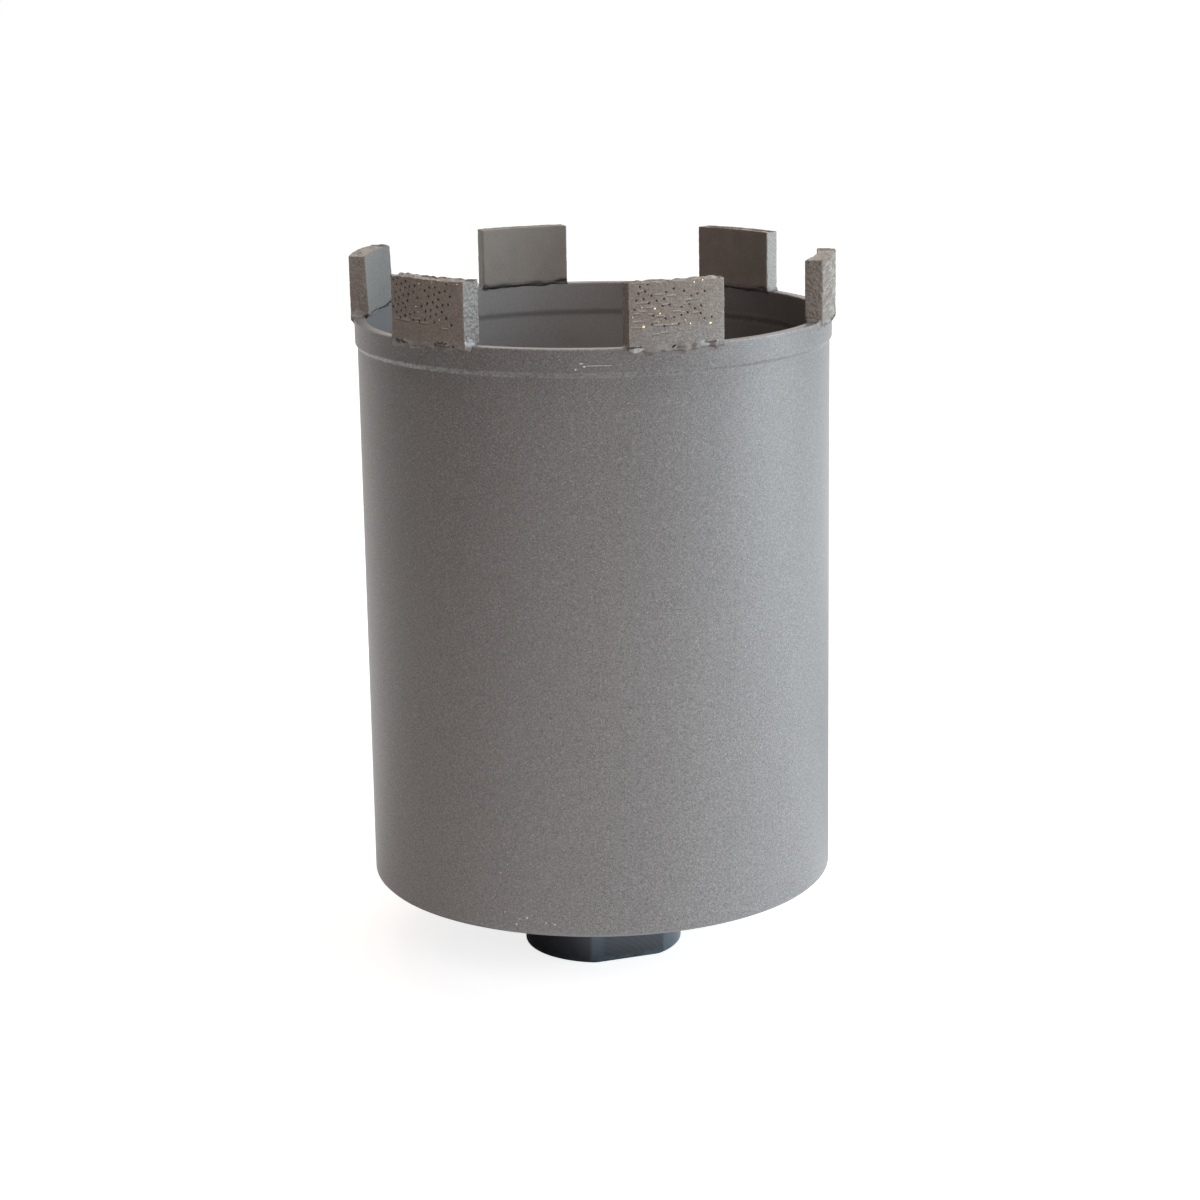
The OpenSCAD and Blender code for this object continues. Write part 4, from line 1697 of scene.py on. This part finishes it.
@dataclass
class Barrel:
    """The turned tube, the plate that closes it and the weld between the two."""

    foot: float = 21.3
    rim_top: float = 166.3
    band_outer: float = 60.0
    band_inner: float = 57.2
    wall_outer: float = 59.4
    wall_inner: float = 57.7
    band_outer_h: float = 5.8
    band_inner_h: float = 7.4
    outer_ramp: float = 0.8
    inner_ramp: float = 1.2
    foot_bevel: float = 1.0
    plate_bottom: float = 23.3
    plate_top: float = 29.3
    plate_hole: float = 15.0
    weld_leg: float = 2.4

    def build(self) -> None:
        """Builds the tube, its paint specks, the plate and their weld."""
        self.tube()
        self.specks()
        self.plate()
        self.weld()

    def tube(self) -> None:
        """Turns the tube, with its rim band and the relief below it."""
        top, band, inside = self.rim_top, self.rim_top - self.band_outer_h, self.rim_top - self.band_inner_h
        outline = rounded((
            (self.wall_inner, self.foot, 0.12),
            (self.wall_outer - self.foot_bevel, self.foot, 0.25),
            (self.wall_outer, self.foot + self.foot_bevel, 0.4),
            (self.wall_outer, self.foot + self.foot_bevel + 0.7, 0.0),
            *((self.wall_outer, z, 0.0) for z in np.linspace(self.foot + 6, band - 8, 24)),
            (self.wall_outer, band - self.outer_ramp - 0.35, 0.0),
            (self.wall_outer, band - self.outer_ramp, 0.3),
            (self.band_outer, band, 0.25),
            (self.band_outer, band + 0.35, 0.0),
            (self.band_outer, top - 0.4, 0.0),
            (self.band_outer, top, 0.3),
            (self.band_inner, top, 0.22),
            (self.band_inner, top - 0.6, 0.0),
            (self.band_inner, inside + 1.2, 0.0),
            (self.band_inner, inside, 0.5),
            (self.wall_inner, inside - self.inner_ramp, 0.5),
            (self.wall_inner, inside - self.inner_ramp - 1.2, 0.0),
            *((self.wall_inner, z, 0.0) for z in np.linspace(inside - 6, self.foot + 10, 20)),
        ))
        outline[:, 2] *= np.where(outline[:, 1] > top - 1, 1.0, 0.35)
        shell = lathe(outline, full_turn(400))
        x, y, z = shell.points.T
        outside = fade(np.hypot(x, y), 58.2, 59.0)
        shell.fields[Field.COARSE] = outside
        # Edge wear on the rim band's lower edge, with painted highlight on it that grows towards the left
        # side.
        shell.fields[Field.WORN] *= np.where(np.abs(z - band) < 1, 2.0 + 3.0 * fade(-x, 10, 50), 1.0)
        # Painted shade: the inside of the tube darker, most on its right side.
        shell.fields[Field.BURNT] = (1 - outside) * (fade(x, 5, 50) + 0.2 * fade(-x, 10, 45))
        # Painted shade: the outside darker towards the rim, a little less on the right side.
        heat = np.interp(z, (20, 95, 140, 152, 160), (0.21, 0.51, 0.74, 0.84, 1.0))
        shell.fields[Field.SCORCH] = outside * heat * (1 - 0.25 * fade(x, 10, 45))
        piece = shell.to_object("tube_body", sharp=80)
        finish_piece(piece, PAINT, Slot.PAINT, "tube")

    def specks(self) -> None:
        """Sets the nibs in the paint near the foot, and the nick and scratch on the rim band."""
        nibs = ((-21.0, 23.9, 0.3), (-20.1, 25.4, 0.22), (-18.3, 25.8, 0.3), (-13.6, 24.9, 0.2),
                (-11.5, 24.6, 0.26), (-23.9, 26.7, 0.2), (-16.3, 47.3, 0.16), (-24.8, 36.8, 0.16),
                (-22.9, 39.0, 0.15), (-27.0, 30.1, 0.13), (-9.0, 29.4, 0.12), (-15.2, 31.0, 0.13),
                (150.0, 60.0, 0.2), (96.0, 44.0, 0.18), (-140.0, 80.0, 0.2), (-150.0, 30.0, 0.24))
        nick = [(-4.1, 161.6, (0.25, 0.1, 0.25)), (-2.9, 163.0, (0.5, 0.12, 0.2)),
                (-2.2, 162.3, (0.35, 0.12, 0.25))]
        scratch = [(turn, 162.45, (0.9, 0.045, 0.06)) for turn in np.arange(-1.2, 4.2, 0.9)]
        rows = [(turn, z, self.wall_outer, (r, r * 0.5, r)) for turn, z, r in nibs]
        rows += [(turn, z, self.band_outer, size) for turn, z, size in nick + scratch]
        turn, height, radius, sizes = (np.array(column) for column in zip(*rows))
        angle = np.radians(turn)
        points = np.column_stack((radius * np.sin(angle), -radius * np.cos(angle), height))
        turns = np.column_stack((0 * angle, 0 * angle, angle))
        scatter("paint_nibs", points, sizes, turns, NIB, Slot.PAINT)

    def plate(self) -> None:
        """Turns the base plate."""
        low, high = self.plate_bottom, self.plate_top
        outline = rounded((
            (self.plate_hole, low, 0.05), (self.plate_hole + 1, low, 0.0), (self.wall_inner - 1, low, 0.0),
            (self.wall_inner, low, 0.05), (self.wall_inner, high, 0.3), (self.wall_inner - 1, high, 0.0),
            (self.plate_hole + 1, high, 0.0), (self.plate_hole, high, 0.2),
        ))
        piece = lathe(outline, full_turn(240)).to_object("base_plate_body")
        finish_piece(piece, WELD_PAINT, Slot.PAINT, "base_plate")

    def weld(self) -> None:
        """Builds the weld between tube and plate."""
        drop = self.plate_bottom - self.foot - 0.2
        weld_bead("tube_weld", self.wall_inner, self.plate_bottom, -self.weld_leg, drop, 236, 1888)


def weld_bead(node: str, corner: float, level: float, leg: float, drop: float, ripples: int,
              steps: int) -> None:
    """Builds a ring of weld in a corner under the plate.

    Args:
        node: The CAD node that it stands for.
        corner: Radius of the corner.
        level: Height of the corner.
        leg: How far the weld reaches along the plate, negative towards the axis.
        drop: How far it reaches down the wall.
        ripples: Number of ripples in the ring.
        steps: Number of steps in the ring.
    """
    t = np.linspace(0, 1, 15)
    fullness, hollow = 0.22, 1.35
    bulge = 1 + fullness * np.sin(math.pi * t)
    r = corner + leg * np.cos(t * math.pi / 2) ** hollow * bulge
    z = level - drop * np.sin(t * math.pi / 2) ** hollow * bulge
    wall, sunk = corner - 0.2 * np.sign(leg), level + 0.15
    back = ((wall, z[-1] + 0.1), (wall, sunk), (r[0], sunk))
    outline = np.vstack((np.column_stack((r, z)), back))
    shell = lathe(np.column_stack((outline, np.zeros(len(outline)))), full_turn(steps))
    shell.fields[Field.ACROSS] = np.tile(np.append(t, np.zeros(len(back))), steps)
    piece = shell.to_object(f"{node}_bead")
    WeldRipples.run(piece, WELD_PAINT, ripples=float(ripples), seed=float(ripples))
    finish_piece(piece, WELD_PAINT, Slot.WELD, node)


@dataclass
class Hub:
    """The hub: a turned body with two milled flats, a collar and a tapped hole."""

    radius: float = 20.5
    rounding: float = 0.5
    half_flats: float = 18.0
    flat_height: float = 16.0
    flat_angle: float = 20.0
    shoulder: float = 23.3
    top: float = 29.3
    collar: float = 15.0
    thread_radius: float = 8.0
    minor_radius: float = 6.9175
    pitch: float = 2.0
    mouth: float = 8.3
    strip: tuple[float, float] = (-6.9, -6.1)
    weld_leg: float = 3.0

    def build(self) -> None:
        """Builds the hub and its weld."""
        self.body()
        weld_bead("hub_weld", self.radius, self.shoulder, self.weld_leg, self.weld_leg, 90, 990)

    def angles(self) -> np.ndarray:
        """Gives the angles of the hub's columns, with one on each edge of the flats.

        Returns:
            The angles in radians, over less than a full turn.
        """
        half = math.acos(self.half_flats / self.radius)
        first = math.radians(self.flat_angle)
        second = first + math.pi
        stops = [first - half, first + half, second - half, second + half, first - half + 2 * math.pi]
        spans = [np.linspace(a, b, max(2, round((b - a) / math.radians(2))), endpoint=False)
                 for a, b in zip(stops, stops[1:])]
        return np.concatenate(spans)

    def body(self) -> None:
        """Turns, mills and taps the hub."""
        flats_end = (self.radius, self.flat_height, 0.0)
        outer = rounded((
            (self.mouth, 0.0, 0.15), (self.mouth + 1, 0.0, 0.0), (self.half_flats - 1, 0.0, 0.0),
            (self.radius, 0.0, self.rounding * 1.6), (self.radius, 1.6, 0.0),
            # The first of these two is milled, and the step between them is the flats' upper end
            flats_end, flats_end,
            (self.radius, self.shoulder, 0.1), (self.collar, self.shoulder, 0.05),
            (self.collar, self.top, 0.3), (self.collar - 1, self.top, 0.0),
            (self.mouth + 1, self.top, 0.0), (self.mouth, self.top, 0.15),
        ), steps=5)
        bore = np.arange(self.top - 0.2, 0.2, -self.pitch / 16)
        walls = np.column_stack((np.full(len(bore), self.minor_radius), bore, np.zeros(len(bore))))
        outline = np.vstack((outer, walls))
        angles = self.angles()
        shell = lathe(outline, angles)
        points = shell.points.reshape(len(angles), len(outline), 3)
        self.tap(points[:, len(outer):], angles)
        step = int(np.argmax(outer[:, 1] >= self.flat_height - 1e-6))
        milled = np.zeros((2, *points.shape[:2]))
        milled[:, :, :step + 1] = self.mill(points[:, :step + 1])
        shell.fields[Field.STREAK], shell.fields[Field.BARE] = milled.reshape(2, -1)
        piece = shell.to_object("hub_body", sharp=30)
        finish_piece(piece, BLUED, Slot.BLUED, "hub")

    def tap(self, points: np.ndarray, angles: np.ndarray) -> None:
        """Cuts the thread and the two countersinks into the bore, in place.

        Args:
            points: The bore's points, by column and row.
            angles: Angle of each column.
        """
        z = points[:, :, 2]
        turn = (z / self.pitch - angles[:, None] / (2 * math.pi)) % 1.0
        steepness, crest = 2.6, 0.33
        flank = np.clip((0.5 - np.abs(turn - 0.5)) * steepness - crest, 0, 1)
        radius = self.minor_radius + (self.thread_radius - self.minor_radius) * flank
        radius = np.maximum(radius, self.mouth - np.minimum(z, self.top - z))
        points[:, :, 0] = radius * np.sin(angles)[:, None]
        points[:, :, 1] = -radius * np.cos(angles)[:, None]

    def mill(self, points: np.ndarray) -> np.ndarray:
        """Mills the two flats, in place.

        Args:
            points: The points below the flats' upper end, by column and row.

        Returns:
            The flats, 1 for each point that lies on one, and the brighter strips: one along an edge of
            each flat, and painted sheen on the round sides that follow its other edge.
        """
        angle = math.radians(self.flat_angle)
        normal, side = np.array(((math.sin(angle), -math.cos(angle)), (math.cos(angle), math.sin(angle))))
        reach = points[:, :, :2] @ normal
        over = np.abs(reach) - self.half_flats
        moved = np.where(over > 0, np.sign(reach) * over, 0.0)
        points[:, :, :2] -= moved[:, :, None] * normal
        flat = (over > -1e-6).astype(float)
        along = points[:, :, :2] @ side * np.sign(reach)
        strip = flat * (1 - fade(along, *self.strip))
        return np.stack((flat, np.maximum(0.5 * strip, (1 - flat) * (along > 0))))


# Studio


@dataclass(frozen=True)
class PhotoCamera:
    """The photograph's camera, as fitted to the bit's outline."""

    place: tuple[float, float, float] = (0.0, -0.7329, 0.2717)
    lens: float = 87.774
    pitch: float = 13.7978
    yaw: float = 0.0418
    roll: float = -0.9497

    def build(self) -> None:
        """Makes the camera and sets it as the scene's own."""
        pitch, yaw, roll = (math.radians(a) for a in (self.pitch, self.yaw, self.roll))
        level = math.cos(pitch)
        ahead = np.array((math.sin(yaw) * level, math.cos(yaw) * level, -math.sin(pitch)))
        side = np.array((math.cos(yaw), -math.sin(yaw), 0.0))
        up = np.cross(side, ahead)
        right = math.cos(roll) * side + math.sin(roll) * up
        above = -math.sin(roll) * side + math.cos(roll) * up
        data = bpy.data.cameras.new("photo_camera")
        data.lens, data.sensor_width, data.clip_start, data.clip_end = self.lens, 36.0, 0.01, 100.0
        camera = placed("photo_camera", data)
        matrix = np.identity(4)
        matrix[:3, 0], matrix[:3, 1], matrix[:3, 2], matrix[:3, 3] = right, above, -ahead, self.place
        camera.matrix_world = Matrix(matrix.tolist())
        bpy.context.scene.camera = camera


@dataclass(frozen=True)
class Softbox:
    """A soft rectangular lamp that faces a point on the bit, in metres and watts."""

    name: str
    place: tuple[float, float, float]
    size: tuple[float, float]
    power: float
    colour: Colour
    target: tuple[float, float, float] = (0.0, 0.0, 0.1)

    def build(self) -> None:
        """Makes the lamp."""
        data = bpy.data.lights.new(self.name, "AREA")
        data.shape, data.size, data.size_y = "RECTANGLE", *self.size
        data.energy, data.color = self.power, self.colour
        lamp = placed(self.name, data)
        lamp.rotation_euler = (Vector(self.target) - Vector(self.place)).to_track_quat("-Z", "Y").to_euler()
        lamp.location = self.place


@dataclass(frozen=True)
class Card:
    """A dark card that reflections see on one side, by how closely a direction points at it."""

    direction: tuple[float, float, float]
    start: float
    full: float
    level: float
    reach: float = 50.0


@dataclass(frozen=True)
class Studio:
    """The white floor and surroundings, the lamps and the view."""

    lamps: tuple[Softbox, ...] = (
        Softbox("window_right", (0.95, -0.05, 0.42), (0.7, 0.9), 10.3, (0.775, 0.91, 1.0)),
        Softbox("right_front", (0.7, -0.7, 0.3), (0.6, 0.56), 1.7, (0.79, 0.88, 1.0)),
        Softbox("high_right", (0.6, 0.3, 1.0), (0.7, 0.7), 1.6, (0.2, 0.62, 1.0)),
        Softbox("front", (-0.1, -1.1, 0.8), (0.8, 0.6), 4.45, (1.0, 0.87, 0.83)),
        Softbox("overhead", (0.0, 0.1, 1.2), (0.9, 0.9), 2.0, (1.0, 0.76, 0.6)),
        Softbox("back_high", (0.0, 0.9, 0.8), (1.2, 0.6), 2.0, (1.0, 0.66, 0.4)),
    )
    ambient: Colour = (0.002, 0.002, 0.002)
    floor_colour: Colour = (0.8, 0.8, 0.8)
    floor_glow: float = 0.8
    glow_span: tuple[float, float] = (0.06, 0.25)
    # Centre and span of the painted shadow that reflections see on the floor under the bit.
    shadow_centre: tuple[float, float, float] = (-0.03, 0.005, 0.0)
    shadow_span: tuple[float, float] = (0.035, 0.06)
    half_floor: float = 6.0
    cards: tuple[Card, ...] = (
        Card((-0.985, -0.17, 0.0), 0.62, 0.95, 0.55),
        Card((0.5, 0.866, 0.0), 0.8, 0.95, 0.12, 0.5),
    )

    def build(self) -> None:
        """Builds the floor, the world and the lamps, and sets the view."""
        for lamp in self.lamps:
            lamp.build()
        self.world()
        self.floor()
        bpy.context.scene.view_settings.view_transform = "Standard"

    @staticmethod
    def seen(w: Wiring) -> Socket:
        """Gives 1 for the rays that show the background: the camera's, and reflections of it.

        Args:
            w: The shader's wiring.

        Returns:
            The mask.
        """
        path = w.node("ShaderNodeLightPath").outputs
        seen = w.math("MAXIMUM", path["Is Camera Ray"], path["Is Glossy Ray"])
        return w.math("MAXIMUM", seen, path["Is Transmission Ray"])

    def carded(self, w: Wiring, strength: Socket, toward: Socket) -> Socket:
        """Dims what reflections see behind the dark cards, and leaves what the camera sees.

        Args:
            w: The shader's wiring.
            strength: The strength without cards.
            toward: Where the ray ends, or its direction.

        Returns:
            The strength with the cards.
        """
        camera = w.node("ShaderNodeLightPath").outputs["Is Camera Ray"]
        facing, away = w.vector("NORMALIZE", toward), w.vector("LENGTH", toward)
        for card in self.cards:
            turned = w.vector("DOT_PRODUCT", facing, card.direction)
            level = w.ramp(away, card.reach * 0.6, card.reach, card.level, 1.0)
            seen = w.math("MAXIMUM", w.ramp(turned, card.start, card.full, 1.0, level), camera)
            strength = w.math("MULTIPLY", strength, seen)
        return strength

    def world(self) -> None:
        """Makes the surroundings: white where they are seen, and a soft fill light otherwise."""
        world = bpy.data.worlds.new("studio")
        world.use_nodes = True
        bpy.context.scene.world = world
        w = Wiring(world.node_tree)
        direction = w.node("ShaderNodeNewGeometry").outputs["Position"]
        seen = self.carded(w, self.seen(w), direction)
        colour = w.blend(seen, rgba(self.ambient), rgba((1.0, 1.0, 1.0)))
        world.node_tree.nodes["Background"].inputs["Strength"].default_value = 1.0
        w.feed(colour, world.node_tree.nodes["Background"].inputs["Color"])

    def floor(self) -> None:
        """Makes the floor, which shows white and keeps a soft shadow."""
        mesh = bpy.data.meshes.new("floor")
        half = self.half_floor
        corners = [(-half, -half, 0), (half, -half, 0), (half, half, 0), (-half, half, 0)]
        mesh.from_pydata(corners, [], [(0, 1, 2, 3)])
        material = bpy.data.materials.new("white_floor")
        material.use_nodes = True
        w = Wiring(material.node_tree)
        material.node_tree.nodes.remove(material.node_tree.nodes["Principled BSDF"])
        diffuse = w.node("ShaderNodeBsdfDiffuse", {"Color": rgba(self.floor_colour)})
        place = w.node("ShaderNodeTexCoord").outputs["Object"]
        away = w.vector("LENGTH", place)
        seen = w.times(self.seen(w), w.ramp(away, *self.glow_span, self.floor_glow, 1.0))
        seen = self.carded(w, seen, place)
        # Painted shadow: rays other than the camera's see no glow round shadow_centre, so reflections show
        # a dark floor under the bit's left side.
        shaded = w.ramp(w.vector("DISTANCE", place, self.shadow_centre), *self.shadow_span)
        camera = w.node("ShaderNodeLightPath").outputs["Is Camera Ray"]
        strength = w.times(seen, w.math("MAXIMUM", camera, shaded))
        glow = w.node("ShaderNodeEmission", {"Color": rgba((1.0, 1.0, 1.0)), "Strength": strength})
        both = w.node("ShaderNodeAddShader", {0: diffuse.outputs[0], 1: glow.outputs[0]})
        w.feed(both.outputs[0], material.node_tree.nodes["Material Output"].inputs["Surface"])
        mesh.materials.append(material)
        floor = placed("floor", mesh)


def main() -> None:
    """Builds the bit's pieces in order, then the studio and the camera."""
    logging.basicConfig(level=logging.INFO, format="%(name)s %(message)s")
    for assembly in (Barrel(), Hub(), Crown()):
        LOG.info("building the %s", type(assembly).__name__.lower())
        assembly.build()
    Studio().build()
    PhotoCamera().build()


if __name__ == "__main__":
    main()
